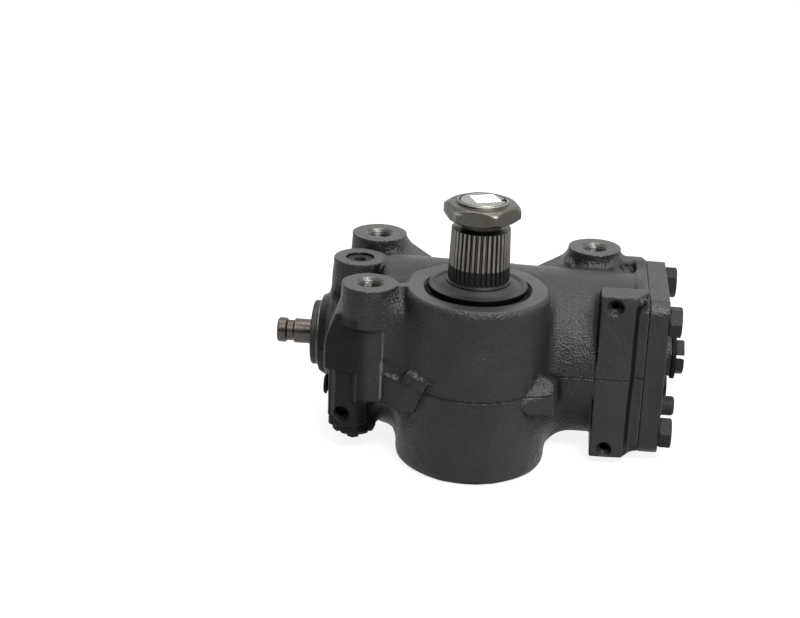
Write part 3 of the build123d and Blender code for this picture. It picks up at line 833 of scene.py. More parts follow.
M_NUT = steel("steel_forged_dark", (0.074, 0.071, 0.062), 0.36, (1, 1, 5), 420.0, (0.55, 0.5, 0.42), 0.5, 0.00005, spots=0.3)
M_SHAFT = steel("steel_turned", (0.070, 0.062, 0.057), 0.30, (9, 1, 1), 500.0, (0.75, 0.58, 0.52), 0.5)
M_GROUND = steel("steel_ground", (0.50, 0.50, 0.49), 0.22, (1, 1, 6), 900.0, (0.8, 0.8, 0.75), 0.25)
M_INNER = steel("iron_machined", (0.24, 0.235, 0.225), 0.42, (5, 1, 1), 380.0, (0.6, 0.55, 0.5), 0.4)
M_SPRING = steel("steel_phosphated", (0.16, 0.16, 0.155), 0.45, (1, 1, 1), 600.0, (0.6, 0.6, 0.6), 0.4)
M_HEX = steel("steel_forged_nut", (0.074, 0.071, 0.062), 0.36, (1, 1, 5), 420.0, (0.55, 0.5, 0.42), 0.5, 0.00005, spots=0.3, wear_and_highlight=True, bore_shade_radius=0.0197)
M_SECTOR = shaft_steel("steel_sector_shaft")
M_LABEL = label_paper("label_paper")
M_THREAD = steel("steel_tapped", (0.095, 0.092, 0.086), 0.27, (1, 1, 1), 600.0, (0.5, 0.45, 0.4), 0.5, 0.00003)
M_RUBBER = rubber("rubber_black")
M_CAP = rubber("rubber_cap", lip_shade_radius=0.0411)
M_PTFE = plain_detail("sealing_plastic", (0.22, 0.15, 0.085), 0.5)

# ------------------------------------------------------------------ housing
H = 1.1


def power_cylinder(x, y, z):
    """Slightly tall and tapered, as cast: the valve end is the larger one."""
    ay = 69.3 + (120.0 - x) * 0.021
    az = 71.2 + (120.0 - x) * 0.017
    u, v = (y - YC) / ay, (z - ZC) / az
    q = (np.sqrt(u * u + v * v) - 1) * (ay + az) / 2
    low = np.clip((-z - 60.0) / 50.0, 0, 1)
    e = 8.0 + 7.0 * low
    a, w = q + e, -86.5 - x + e
    d = np.minimum(np.maximum(a, w), 0) + np.sqrt(np.maximum(a, 0) ** 2 + np.maximum(w, 0) ** 2) - e
    return np.maximum(d, x - 139.0) + 0 * (x + y + z)


def part_z(x):
    """The joint of the sand box steps up where the power cylinder leaves the sector case."""
    t = np.clip((x - 66.0) / 9.0, 0, 1)
    return PART_Z + 3.4 * t * t * (3 - 2 * t)


def housing_solid():
    s = Solid()
    s.add(cone_z((0, 0), -155.0, 1.5, 64.3, 61.3, 8.0))
    s.add(box((-60.5, 0.0, -155.0), (61.5, 62.0, -16.0), 7.0), 3.0)
    # web that fills the corner between the sector case and the front-left block
    s.add(convex([(-0.12, -0.99, 0, -70.0, -23.3, 0), (-1, 0, 0, -84.0, 0, 0), (1, 0, 0, -30, 0, 0), (0, -0.35, 0.94, 0, -22.5, -26.0), (0, -0.45, -0.9, 0, -22.5, -103.0), (0, 1, 0, 0, 30, 0)],
                 ((-84, -26, -125), (-30, 30, -5)), 2.0), 16.0)
    s.add((power_cylinder, ((-86, -8, -155), (140, 144, 0))), lambda x, y, z: 11.0 + 15.0 * np.clip((-z - 95.0) / 45.0, 0, 1) + 0 * (x + y))
    # valve end
    s.add(cylinder("x", (YC, ZC), 43.5, -130.5, -76.0, 4.0), 7.0)
    s.add(cone_x((YC, ZC), -139.5, -128.0, 33.8, 40.0, 0.8), 3.0)
    # column under the plug boss
    s.add(cone_z(PORT_BOSS, -66.0, -4.2, 26.4, 22.9, 0.5), 5.0)
    # port block on the hidden side
    s.add(box((-133.0, 84.0, -115.0), (-88.0, 118.0, -62.0), 7.0), 7.0)
    s.add(box((-127.0, 20.0, -126.0), (-86.0, 100.0, -44.0), 9.0), 8.0)
    # foot round the relief valve, with its rim
    s.add(cylinder("z", RELIEF, 20.3, -130.6, -92.0, 0.5), 12.0)
    s.add(cylinder("z", RELIEF, 19.4, -134.5, -122.0, 0.7), 0.3)
    # front-left block: right pillar, and two plates set back from it and turned to the left
    pillar = convex([(0, -1, 0, 0, -24.4, 0), (-0.47, -0.88, 0, -97.0, -22.7, 0), (-1, 0, 0, -100.0, 0, 0), (1, -0.02, 0, -76.6, -20.0, 0), (0.5, 0, 0.87, -82.0, 0, -27.5), (0, 0, 1, 0, 0, -26.0),
                     (0, -0.5, -0.87, 0, -24.2, -101.0), (0.3, 0, -0.95, -78, 0, -101.0), (0, 1, 0, 0, 40, 0)], ((-97, -25, -125), (-76, 40, -26)), 0.9)
    upper = convex([(-0.34, -0.94, 0, -97.0, -22.6, 0), (1, 0, 0, -90.0, 0, 0), (-1, 0, 0.36, -127.6, 0, -52.0), (-1, 0, 0, -127.6, 0, 0),
                    (0, 0, 1, 0, 0, -26.5), (0, 0, -1, 0, 0, -79.0), (0, 1, 0, 0, 44.0, 0)], ((-130, -25, -80), (-88, 45, -26)), 2.6)
    lower = convex([(-0.30, -0.95, 0, -97.0, -21.6, 0), (1, 0, 0, -88.0, 0, 0), (-1, 0, 0, -122.4, 0, 0),
                    (0, 0, 1, 0, 0, -66.0), (0, -0.1, -1, 0, -14, -130.4), (0.55, 0, -0.83, -93.0, 0, -125.0), (0, 1, 0, 0, 44.0, 0)], ((-124, -24, -132), (-86, 45, -65)), 3.0)
    s.add(upper, 3.0)
    s.add(lower, 1.0)
    s.add(pillar, 1.2)
    s.add(cylinder("z", (-99.2, -19.3), 3.3, -104.0, -77.0, 2.0), 2.0)
    s.add(cylinder("z", (-119.6, -12.8), 3.1, -121.0, -77.0, 2.0), 0.8)
    # bosses
    s.add(cone_z((-91.2, -6.0), -34.0, 1.2, 24.3, 23.2, 0.0), 1.6)
    s.add(cone_z((-96.3, 127.6), -60.0, 0.0, 26.6, 24.6, 0.0), 9.0)
    s.add(cone_z((98.9, 126.2), -60.0, 0.0, 26.5, 23.4, 0.0), 10.0)
    # gussets of the back bosses
    s.add(convex([(0.644, 0, 1, -69.9, 0, -9.5), (0, 1, 0, 0, 140.0, 0), (0, -1, 0, 0, 111.0, 0), (0, 0, -1, 0, 0, -60.0), (-1, 0, 0, -96, 0, 0), (1, 0, 0, -20, 0, 0)],
                 ((-96, 111, -60), (-20, 140, 5)), 3.0), 8.0)
    s.add(convex([(-0.567, 0, 1, 70.5, 0, -12.2), (0, 1, 0, 0, 138.0, 0), (0, -1, 0, 0, 112.0, 0), (0, 0, -1, 0, 0, -60.0), (1, 0, 0, 96, 0, 0), (-1, 0, 0, 26, 0, 0)],
                 ((26, 112, -60), (96, 138, 5)), 3.0), 8.0)
    s.add(capsule((76.0, 116.0, -12.0), (70.0, 100.0, -13.0), 4.0), 7.0)
    s.add(capsule((115.0, 122.0, -11.0), (119.0, 101.0, -14.5), 4.0), 7.0)
    # saddle from the back-right boss to the flange
    s.add(box((114.0, 112.0, -46.0), (143.0, 130.5, -7.4), 2.5), 6.0)
    # flange, its corner bosses and the front pad
    s.add(plate_x(136.2, 145.0, YC, ZC, 62.0, 70.0, 13.0, 0.7), 5.0)
    for cy, cz in ((118.0, -26.0), (118.0, -129.0)):
        s.add(cylinder("x", (cy, cz), 12.4, 122.0, 144.0, 2.0), 5.0)
    pad = convex([(0, -1, 0, 0, -1.6, 0), (-1, 0, 0, 103.6, 0, 0), (0.86, -0.50, -0.012, 132.4, -1.6, -75.0), (0, 0, 1, 0, 0, 0.0), (0, 0, -1, 0, 0, -147.5),
                  (0, 0.5, 0.87, 0, 23.0, 0.0), (0, 1, 0, 0, 40, 0), (1, 0, 0, 144, 0, 0)], ((103.6, -2, -147.5), (144, 40, 0)), 1.5)
    s.add(pad, 2.0)
    s.cut(convex([(-0.86, 0.50, 0.012, 132.6, -1.6, -75.0), (0, 1, 0, 0, 5.7, 0), (1, 0, 0, 145.4, 0, 0), (0, -1, 0, 0, -12.0, 0), (0, 0, 1, 0, 0, -13.0), (0, 0, -1, 0, 0, -146.0)],
                 ((130.0, -12.0, -146.0), (145.4, 5.7, -13.0)), 0.6), 0.7)
    s.add(capsule((136.5, 2.0, -4.5), (139.5, 9.0, -6.5), 3.4), 1.2)
    # coplanar bridge from the ring to the front-left boss, and the sloping saddle under it
    s.add(convex([(0, 0, 1, 0, 0, 1.5), (0, 0, -1, 0, 0, -9.0), (0, 1, 0, 0, -2.6, 0), (0, -1, 0, 0, -7.6, 0), (1, 0, 0, -52, 0, 0), (-1, 0, 0, -78, 0, 0)],
                 ((-78, -8, -9), (-52, -2, 1.5)), 0.0), 4.5)
    s.add(convex([(-0.12, -0.99, 0, -70.0, -23.3, 0), (0.18, -0.76, 0.62, -72.0, -15.5, -6.0), (0.9, -0.2, 0.3, -60.0, -18.0, -15.0), (0, 0, -1, 0, 0, -60.0), (-1, 0, 0, -90, 0, 0), (0, 1, 0, 0, 10, 0), (0, 0, 1, 0, 0, -5.0)],
                 ((-90, -26, -60), (-56, 10, -5)), 3.0), 7.0)
    # lumps that the sand box left at the joint
    s.add(convex([(0.37, -0.93, 0, 55.0, -42.4, 0), (0.10, -0.74, 0.67, 55.0, -42.4, -79.0), (1, -0.1, 0.08, 69.6, -38.0, -80.0), (0, -0.12, -0.99, 55.0, -40.0, -96.0), (-0.74, 0.15, 0.62, 54.5, -31.0, -60.5),
                  (0.50, 0.15, 0.82, 54.5, -31.0, -60.5), (-0.66, -0.35, -0.66, 46.5, -45.0, -93.0), (0, 1, 0, 0, -8.0, 0)], ((36, -52, -98), (72, -8, -56)), 2.0), 1.4)
    s.add(convex([(-0.627, -0.779, 0, -56.0, -39.2, 0), (-0.43, -0.58, 0.69, -66.0, -31.2, -76.5), (0.08, 0.1, 0.99, -62.0, -30.0, -65.0), (-1, 0, 0, -78.2, 0, 0), (0.80, -0.2, 0.56, -56.5, -38.0, -67.0), (0.86, -0.5, -0.1, -50.0, -43.0, -90.0),
                  (0, -0.05, -1, -55.0, -36.0, -99.6), (0, 1, 0, 0, -10, 0)], ((-78.4, -56, -101), (-40, -10, -60)), 1.2), lambda x, y, z: 0.5 + 1.7 * np.clip((x + 72.0) / 6.0, 0, 1) + 0 * (y + z))
    s.add(convex([(-0.70, -0.714, 0, -48.0, -45.4, 0), (-0.50, -0.56, 0.66, -48.0, -45.4, -67.8), (0.3, 0, 0.95, -50.0, -43.0, -62.5), (-0.75, 0.1, 0.65, -54.5, -39.0, -66.0), (0.714, -0.536, -0.45, -42.0, -48.5, -88.0),
                  (0.457, -0.30, 0.83, -37.9, -50.7, -64.0), (0, -0.05, -1, -48.0, -42.0, -98.4), (0, 1, 0, 0, -10, 0)], ((-66, -60, -100), (-30, -10, -60)), 1.2), 1.8)
    # the machined mounting plane
    s.keep((lambda x, y, z: z + 0 * x + 0 * y, None), 0.0)
    s.keep((lambda x, y, z: -154.9 - z + 0 * x + 0 * y, None), 0.3)
    # inside
    s.cut(cylinder("x", (YC, ZC), 55.0, -78.0, 150.0), 0.0)
    s.cut(cylinder("x", (YC, ZC), 29.5, -150.0, -132.0), 0.3)
    s.cut(cylinder("x", (YC, ZC), 24.0, -140.0, -83.0), 0.0)
    s.cut(cylinder("x", (YC, ZC), 15.5, -90.0, -70.0), 0.0)
    s.cut(cylinder("z", (0, 0), 47.0, -160.0, -44.0), 0.0)
    s.cut(cylinder("z", (0, 0), 48.0, -160.0, -134.0), 0.5)
    s.cut(cylinder("z", (0, 0), 50.5, -151.0, -148.0), 0.0)
    s.cut(cylinder("z", (0, 0), 34.0, -50.0, -19.0), 0.0)
    s.cut(cylinder("z", (0, 0), 36.0, -21.0, 1.0), 0.0)
    s.cut(cylinder("z", (0, 0), 38.0, -9.2, -7.2), 0.0)
    s.cut(cylinder("z", (0, 0), 43.9, -3.4, 4.0), 0.0)
    s.cut(cylinder("z", (0, 0), 45.6, -2.2, 4.0), 0.3)
    for c in (FL_BOSS, BL_BOSS, BR_BOSS):
        s.cut(cylinder("z", c, 10.6, -30.0, 3.0), 0.0)
        s.cut(cone_z(c, -2.6, 1.0, 10.6, 13.7), 0.15)
    s.cut(cylinder("z", PORT_BOSS, 10.0, -22.0, 0.0), 0.0)
    s.cut(cylinder("z", PORT_BOSS, 4.0, -60.0, -20.0), 0.0)
    s.cut(cylinder("z", PORT_BOSS, 12.4, -7.4, 0.0), 0.3)
    for pz in (-9.8, -140.3):
        s.cut(cylinder("y", (116.0, pz), 2.6, -4.0, 20.0), 0.0)
        s.cut(cone_y((116.0, pz), -3.0, 4.4, 8.8 if pz > -50 else 7.8, 2.6), 0.4)
    s.cut(cylinder("y", (-111.2, -117.2), 4.6, -30.0, -4.0), 0.0)
    s.cut(cone_y((-111.2, -117.2), -20.0, -9.0, 8.0, 4.4), 0.5)
    for px, pz in ((-105.0, -83.0), (-121.5, -99.0)):
        s.cut(cylinder("y", (px, pz), 8.25, 101.0, 122.0), 0.3)
        s.cut(cylinder("y", (px, pz), 5.0, 80.0, 103.0), 0.0)
    s.cut(cylinder("z", RELIEF, 17.0, -138.0, -131.5), 0.3)
    s.cut(cylinder("z", RELIEF, 8.0, -136.0, -104.0), 0.0)
    s.cut(cylinder("z", RELIEF, 4.0, -106.0, -90.0), 0.0)
    s.cut(cylinder("x", (28.0, -110.0), 6.0, -130.0, -115.0), 0.3)
    for sy in (-50.0, 50.0):
        for sz in (-51.5, 51.5):
            s.cut(cylinder("x", (YC + sy, ZC + sz), 8.0, 128.0, 150.0), 0.0)
    # joint of the sand box: a low ridge with a groove under it
    s.warp(lambda x, y, z: (np.clip((x + 46.0) / 4.0, 0, 1) + np.clip((-97.0 - x) / 3.0, 0, 1) + np.clip((y - 60.0) / 4.0, 0, 1) * (x > -97) * (x < -46))
           * (0.34 * np.exp(-((z - part_z(x) + 0.55) / 0.5) ** 2) - 0.22 * np.exp(-((z - part_z(x) - 0.6) / 0.55) ** 2)) + 0 * y, ((-150, -70, PART_Z - 3), (144.5, 160, PART_Z + 6)))
    return s


def housing_mask(V, N):
    x, y, z = V[:, 0], V[:, 1], V[:, 2]
    m = ((z > -0.35) & (N[:, 2] > 0.7)).astype(float) * np.where((x > 103) & (y < 60), 0.3, 1.0)
    m = np.maximum(m, ((np.abs(z + 4.2) < 0.5) & (np.hypot(x - PORT_BOSS[0], y - PORT_BOSS[1]) < 22.6)).astype(float))
    m = np.maximum(m, ((x > 144.2)).astype(float))
    r = np.hypot(y - YC, z - ZC)
    m = np.maximum(m, ((r < 55.6) & (x > -78.5)).astype(float))
    m = np.maximum(m, ((x < -139.2) | ((r < 33) & (x < -78))).astype(float))
    m = np.maximum(m, (np.hypot(x, y) < 50.8).astype(float))
    m = np.maximum(m, ((y < -0.9) & (x > 104) & (x < 134) & (N[:, 1] < -0.95)).astype(float) * 0.12)
    m = np.maximum(m, (z < -154.5).astype(float))
    return m


def cast_uneven(V, N):
    rough = np.exp(-((np.hypot(V[:, 0] - 55, V[:, 1] + 36) / 17) ** 4)) + np.exp(-((np.hypot(V[:, 0] + 50, V[:, 1] + 40) / 17) ** 4))
    rough = rough * np.clip((V[:, 2] + 79.5) / 2, 0, 1) * np.clip((-55 - V[:, 2]) / 4, 0, 1)
    return 0.30 * lumps(V, 19.0) + 0.13 * lumps(V + 50, 7.5) + 0.40 * rough * lumps(V + 20, 2.6)


def housing_painted_highlight(V, N):
    """Painted highlight: a lighter line along the pillar's right edge, and lighter patches on the upward-facing tops of
    the two lumps at the joint.
    """
    x, y, z = V[:, 0], V[:, 1], V[:, 2]
    edge = np.exp(-((x + 76.9) / 0.75) ** 2) * (y < -22.6) * np.clip((z + 100) / 4, 0, 1) * np.clip((-33 - z) / 5, 0, 1) * np.clip((N[:, 0] - 0.1) / 0.3, 0, 1)
    up = np.clip((N[:, 2] - 0.35) / 0.25, 0, 1) * np.clip((0.93 - N[:, 2]) / 0.1, 0, 1)
    ledge = np.exp(-(np.hypot((x + 69.5) / 8.0, (z + 71.5) / 6.0) ** 4)) * 0.60 + np.exp(-(np.hypot((x + 47.0) / 6.5, (z + 66.0) / 3.6) ** 4)) * 0.50
    ledge = ledge * up * (y < -20) * np.clip(0.55 + 0.9 * lumps(V + 3, 1.9), 0.05, 1)
    return np.clip(edge * (0.75 + 0.25 * lumps(V, 5.0)) + ledge, 0, 1)


def housing_half_shade(V, N):
    """Painted shade: darker colour and a lower specular level on the left-facing faces of the front-left block, the
    pad's slanted face, the foot, the low left end, the groove round the dust cap and a line along the joint ridge.
    """
    x, y, z = V[:, 0], V[:, 1], V[:, 2]
    left = np.clip((-N[:, 0] - 0.12) / 0.2, 0, 1) * np.clip((-94 - x) / 3, 0, 1) * np.clip((-24 - z) / 4, 0, 1) * np.clip((-N[:, 1] - 0.3) / 0.3, 0, 1)
    left = np.maximum(left, np.clip((-87 - x) / 9, 0, 1) * (x > -97.6) * (y < -15) * (y > -26) * np.clip((-27 - z) / 3, 0, 1) * 0.95)
    pad = np.clip((N[:, 0] - 0.6) / 0.2, 0, 1) * np.clip((x - 131) / 2, 0, 1) * np.clip((6.5 - y) / 2, 0, 1)
    foot = np.clip((x + 92) / 8, 0, 1) * np.clip((-62 - x) / 8, 0, 1) * np.clip((-104 - z) / 8, 0, 1) * np.clip((10 - y) / 10, 0, 1)
    low = np.clip((-118 - z) / 8, 0, 1) * np.clip((-78 - x) / 4, 0, 1)
    groove = ((np.hypot(x, y) > 37.0) & (np.hypot(x, y) < 45.3) & (z < -0.7)).astype(float)
    line = np.clip((x + 46.0) / 4.0, 0, 1) * np.exp(-((z - part_z(x) - 0.6) / 0.5) ** 2) * (N[:, 1] < 0)
    return np.clip(left + pad + 0.8 * foot + 0.7 * low + groove + 0.9 * line, 0, 1)


def housing_shade(V, N):
    """Painted shade in corners, creases and recesses, on undersides and the foot, in the port recess and on the pad's
    side faces.
    """
    x, y, z = V[:, 0], V[:, 1], V[:, 2]
    near = s_housing.at(V + N * 8.0) / 8.0
    corner = np.clip((0.80 - near) / 0.65, 0, 1) * 0.85
    corner = corner * np.where(((np.hypot(x - 116.0, z + 9.8) < 9.6) | (np.hypot(x - 116.0, z + 140.3) < 9.6)) & (y < 4.6), 0.1 + 0.35 * (N[:, 2] < -0.2), 1.0)
    crease = np.exp(-((np.hypot(x, y) - 64.8) / 3.0) ** 2) * np.clip((x - 47) / 5, 0, 1) * np.clip(-y / 10, 0, 1) * np.clip((-20 - z) / 6, 0, 1) * np.clip((z + 72) / 8, 0, 1) * 0.5
    under = np.clip((-N[:, 2] - 0.12) / 0.5, 0, 1) * 0.85 * (z < -60)
    foot = np.clip((x + 99) / 6, 0, 1) * np.clip((-62 - x) / 6, 0, 1) * np.clip((-99 - z) / 6, 0, 1) * np.clip((6 - y) / 8, 0, 1) * 0.9
    port = (np.abs(np.hypot(x - PORT_BOSS[0], y - PORT_BOSS[1]) - 12.6) < 0.9) * (z < -4.6) * 1.0
    side = np.clip((-N[:, 0] - 0.5) / 0.3, 0, 1) * np.clip((x - 101) / 2, 0, 1) * (y < 30) * 0.9
    slant = np.clip((N[:, 0] - 0.55) / 0.2, 0, 1) * np.clip((x - 131) / 2, 0, 1) * (y < 8) * 0.5
    flat = (z > -0.4) | (np.hypot(x, y) < 37)
    return np.clip(np.maximum.reduce([corner, crease, under, foot, port, side, slant]), 0, 1) * np.where(flat, 0.0, 1.0)


s_housing = housing_solid()
grids = (steps(-144.0, 149.0, H), steps(-66.0, 156.0, H), steps(-159.0, 3.5, H, ((PART_Z + 1.7, 4.3, 0.35),)))
solid_mesh("housing_casting", s_housing, grids, "case", M_CAST, ["housing"], cast_uneven, housing_mask, 0.35, {"wear_and_highlight": housing_painted_highlight, "half_shade": housing_half_shade, "shade": housing_shade})

# ------------------------------------------------------------------ tapped holes of the bosses
def tapped(c, floor, pitch=1.5, top=12.75):
    """A thin closed sleeve: the chamfer and the helical thread of a tapped hole."""
    n = 144
    a = np.arange(n) * 2 * math.pi / n
    zs = np.concatenate([np.linspace(-0.05, -3.0, 9), np.arange(-3.15, floor + 0.4, -0.15)])
    rows = []
    for z in zs:
        cone = top + z * 1.04
        ph = (z / pitch + a / (2 * math.pi)) % 1.0
        thread = 9.30 + 0.86 * np.abs(2 * ph - 1) ** 0.85
        rows.append(np.stack([np.maximum(cone, thread), np.full(n, z)], -1))
    inner = np.array(rows)
    outer = np.array([[10.75, floor + 0.3], [10.75, -2.9], [13.0, -0.6], [13.0, -0.05]])
    rings = [inner] + [np.repeat(outer[:, None, :], n, 1)]
    R = np.concatenate(rings, 0)
    P = np.stack([c[0] + R[..., 0] * np.cos(a)[None], c[1] + R[..., 0] * np.sin(a)[None], R[..., 1]], -1)
    m = len(R)
    I, J = np.meshgrid(np.arange(m), np.arange(n), indexing="ij")
    I2, J2 = (I + 1) % m, (J + 1) % n
    Q = np.stack([I * n + J, I2 * n + J, I2 * n + J2, I * n + J2], -1).reshape(-1, 4)
    return P.reshape(-1, 3), Q


tv, tq, tn = [], [], 0
for hole, bottom in ((FL_BOSS, -29.5), (BL_BOSS, -29.5), (BR_BOSS, -28.5)):
    V, Q = tapped(hole, bottom)
    tv.append(V)
    tq.append(Q[:, ::-1] + tn)
    tn += len(V)
add_mesh("boss_threads", np.concatenate(tv), np.concatenate(tq), "case", M_THREAD, ())

# ------------------------------------------------------------------ pieces with their own meshes
G = 0.4

# drop arm nut
nut = Solid(4.0)
nut.add(hex_prism("z", (0, 0), 57.0, 61.3, 75.1, math.radians(22.5), 0.7))
nut.keep(turned_edge("z", (0, 0), 75.1, 27.3, 1.73), 0.35)
nut.keep(((lambda x, y, z: ((np.sqrt(x * x + y * y) - 27.3) - (z - 61.3) * 1.73) * 0.5), None), 0.35)
nut.add(cone_z((0, 0), 74.0, 77.3, 22.3, 21.2, 0.45), 0.35)
nut.add(cone_z((0, 0), 59.5, 62.0, 22.3, 23.4, 0.5), 0.3)
nut.cut(cylinder("z", (0, 0), 18.95, 50.0, 90.0), 0.35)
ang = math.radians(4.0)
nut.cut(capsule((20.9 * math.cos(ang), 20.9 * math.sin(ang), 77.9), (17.0 * math.cos(ang), 17.0 * math.sin(ang), 77.2), 1.35), 0.3)


# lighter colour on the hex corners under the top chamfer and round the collar rim: edge wear and painted highlight
def nut_edges(V, N):
    x, y, z = V[:, 0], V[:, 1], V[:, 2]
    r = np.hypot(x, y)
    corner = np.exp(-((z - 71.6 + (r - 33.0) * 0.2) / 1.0) ** 2) * np.clip((r - 30.5) / 1.8, 0, 1)
    rim = np.exp(-((r - 21.0) / 0.5) ** 2) * np.clip((z - 76.2) / 0.8, 0, 1)
    return np.clip(corner + 0.7 * rim, 0, 1)


solids_mesh("drop_arm_nut_mesh", [(nut, (steps(-34, 34, G), steps(-34, 34, G), steps(58.4, 78.2, G * 0.8)))], body_for("drop_arm_nut"), M_HEX, ["drop_arm_nut"],
            lambda P, N: 0.10 * lumps(P, 6.0) + 0.05 * lumps(P + 9, 2.4), 0.15, {"wear_and_highlight": nut_edges})

# dust cap: moulded rubber
lathe("dust_cap_mesh", [(27.05, -6.5), (35.6, -6.5), (35.6, -3.3), (43.6, -3.3), (43.7, -2.9), (40.6, -2.8), (40.9, -1.6), (42.0, -0.4), (42.1, 2.6), (41.4, 3.7), (39.8, 3.9), (38.2, 3.6), (37.2, 2.9),
                        (36.2, 2.5), (34.0, 3.1), (31.8, 4.3), (30.0, 5.6), (28.4, 6.6), (27.05, 6.7)], "z", (0, 0), body_for("dust_cap"), M_CAP, ["dust_cap"], 0.9, 180, 4)

# end cover
cover = Solid(14.0)
cover.add(plate_x(145.35, 162.5, YC, ZC, 62.0, 70.0, 13.0, 1.3))
cover.add(cylinder("x", (YC, ZC), 54.8, 136.0, 147.0, 0.3))
cover.cut(cylinder("x", (YC, ZC), 56.0, 139.0, 143.0), 0.0)
cover.add(cylinder("x", (YC, ZC), 51.6, 138.5, 143.5, 0.0))
cover.add(cylinder("x", (YC, ZC), 17.5, 160.0, 171.0, 0.6), 2.5)
cover.add(cylinder("x", (YC, -125.0), 11.0, 160.0, 165.0, 0.6), 1.5)
cover.cut(cylinder("x", (YC, ZC), 8.1, 130.0, 175.0), 0.0)
cover.cut(cylinder("x", (YC, -125.0), 5.1, 150.0, 168.0), 0.0)
for sy in (-50.0, 50.0):
    for sz in (-51.5, 51.5):
        cover.cut(cylinder("x", (YC + sy, ZC + sz), 8.6, 140.0, 166.0), 0.3)
        cover.cut(cylinder("x", (YC + sy, ZC + sz), 14.6, 162.1, 166.0), 0.4)


def rough_rim(P, N):
    """Cast outline, uneven along its outer edge."""
    return 0.22 * lumps(P, 11.0) + 0.20 * lumps(P + 30, 3.6) * np.clip((P[:, 0] - 158.5) / 3.0, 0, 1) + 0.06 * lumps(P + 5, 4.0)


solids_mesh("end_cover_mesh", [(cover, (steps(135.0, 172.5, 0.6), steps(4.0, 132.0, 0.75), steps(-149.5, -5.5, 0.75)))],
            "case", M_COVER, ["end_cover"], rough_rim, 0.2, {"machined": lambda V, N: (V[:, 0] < 146.0) * 0.8, "wear_and_highlight": lambda V, N: 0 * V[:, 0], "half_shade": lambda V, N: 0 * V[:, 0], "shade": lambda V, N: 0 * V[:, 0]})

# cover bolts
bolt_items = []
for (sy, sz), turn in (((-1, 1), 22.0), ((1, 1), -8.6), ((-1, -1), 15.0), ((1, -1), 0.0)):
    cy, cz = YC + sy * 50.0, ZC + sz * 51.5
    b = Solid(4.0)
    b.add(hex_prism("x", (cy, cz), 24.0, 163.6, 173.5, math.radians(turn), 0.45))
    b.keep(turned_edge("x", (cy, cz), 173.5, 12.0, 1.73), 0.3)
    b.add(cylinder("x", (cy, cz), 12.4, 162.5, 163.9, 0.25), 0.15)
    b.add(cylinder("x", (cy, cz), 7.9, 132.0, 164.0, 0.8), 0.3)
    bolt_items.append((b, (steps(131.0, 174.6, G * 1.2, ((168.0, 7.0, G * 0.9),)), steps(cy - 15, cy + 15, G), steps(cz - 15, cz + 15, G))))
solids_mesh("cover_bolts_mesh", bolt_items, "case", M_BOLT, ["end_cover_bolts"], lambda P, N: 0.05 * lumps(P, 3.0), 0.12)

# stroke limiter: screw, washer and slotted lock nut
tilt = math.radians(-21.0)


def slot_box(half):
    ct, st = math.cos(tilt), math.sin(tilt)

    def f(x, y, z):
        v = -(y - YC) * st + (z - ZC) * ct
        return np.maximum(np.abs(v) - half, 174.4 - x) + 0 * x

    return f, ((174.0, YC - 24, ZC - 24), (184.0, YC + 24, ZC + 24))


lim = Solid(4.0)
lim.add(hex_prism("x", (YC, ZC), 28.0, 174.7, 182.0, 0.0, 0.5))
lim.keep(turned_edge("x", (YC, ZC), 182.0, 14.6, 1.73), 0.3)
lim.cut(cylinder("x", (YC, ZC), 8.0, 170.0, 186.0), 0.3)
lim.cut(slot_box(1.6), 0.35)
solids_mesh("limiter_nut_mesh", [(lim, (steps(172.4, 183.2, G * 0.8), steps(YC - 17, YC + 17, G), steps(ZC - 17, ZC + 17, G * 0.8)))], "case", M_BOLT, ["limiter_nut"],
            lambda P, N: 0.09 * lumps(P, 2.6), 0.12)
scr = Solid(4.0)
scr.add(cylinder("x", (YC, ZC), 7.85, 133.0, 181.0, 0.9))
scr.warp(lambda x, y, z: 0.32 * np.abs(2 * (((x / 1.5) + np.arctan2(z - ZC, y - YC) / (2 * math.pi)) % 1.0) - 1) + 0 * z, ((140.0, YC - 9, ZC - 9), (180.4, YC + 9, ZC + 9)))
scr.cut(slot_box(1.35), 0.3)
solids_mesh("limiter_screw_mesh", [(scr, (steps(132.0, 182.2, G * 1.3, ((177.0, 8.0, G * 0.7),)), steps(YC - 9, YC + 9, G * 0.8), steps(ZC - 9, ZC + 9, G * 0.8)))], "case", M_BOLT, ["limiter_screw"], None, 0.1)
lathe("limiter_washer_mesh", [(8.05, 171.0), (19.5, 171.0), (19.5, 174.7), (8.05, 174.7)], "x", (YC, ZC), "case", M_MATT_SHADED, ["limiter_washer"], 0.5, 120)
lathe("end_cover_plug_mesh", [(0.0, 152.0), (5.0, 152.0), (5.0, 165.0), (10.4, 165.0), (10.4, 167.0), (8.8, 167.2), (8.8, 175.2), (8.2, 177.2), (6.6, 178.0), (1.8, 178.0), (1.6, 177.0), (0.0, 177.0)],
      "x", (YC, -125.0), "case", M_BOLT, ["end_cover_plug"], 0.5, 96)

# plug with a hexagon socket in the boss over the valve
pp = Solid(4.0)
pp.add(cylinder("z", PORT_BOSS, 9.9, -20.0, -7.0, 0.5))
pp.add(cylinder("z", PORT_BOSS, 12.1, -7.5, -6.2, 0.45), 0.2)
pp.cut(hex_prism("z", PORT_BOSS, 10.0, -13.0, -3.0, 0.0, 0.2), 0.45)
solids_mesh("port_plug_mesh", [(pp, (steps(-120.4, -94.4, G), steps(56.5, 82.5, G), steps(-21.0, -5.2, G * 0.8)))], "case", M_BOLT, ["port_plug"], lambda P, N: 0.04 * lumps(P, 3.0), 0.12)
lathe("side_plug_mesh", [(0.0, -129.9), (2.6, -129.9), (3.4, -131.4), (7.3, -131.4), (8.5, -130.4), (8.5, -128.6), (6.0, -128.4), (6.0, -116.0), (0.0, -116.0)], "x", (28.0, -110.0), "case", M_BOLT, ["side_plug"], 0.3, 96)

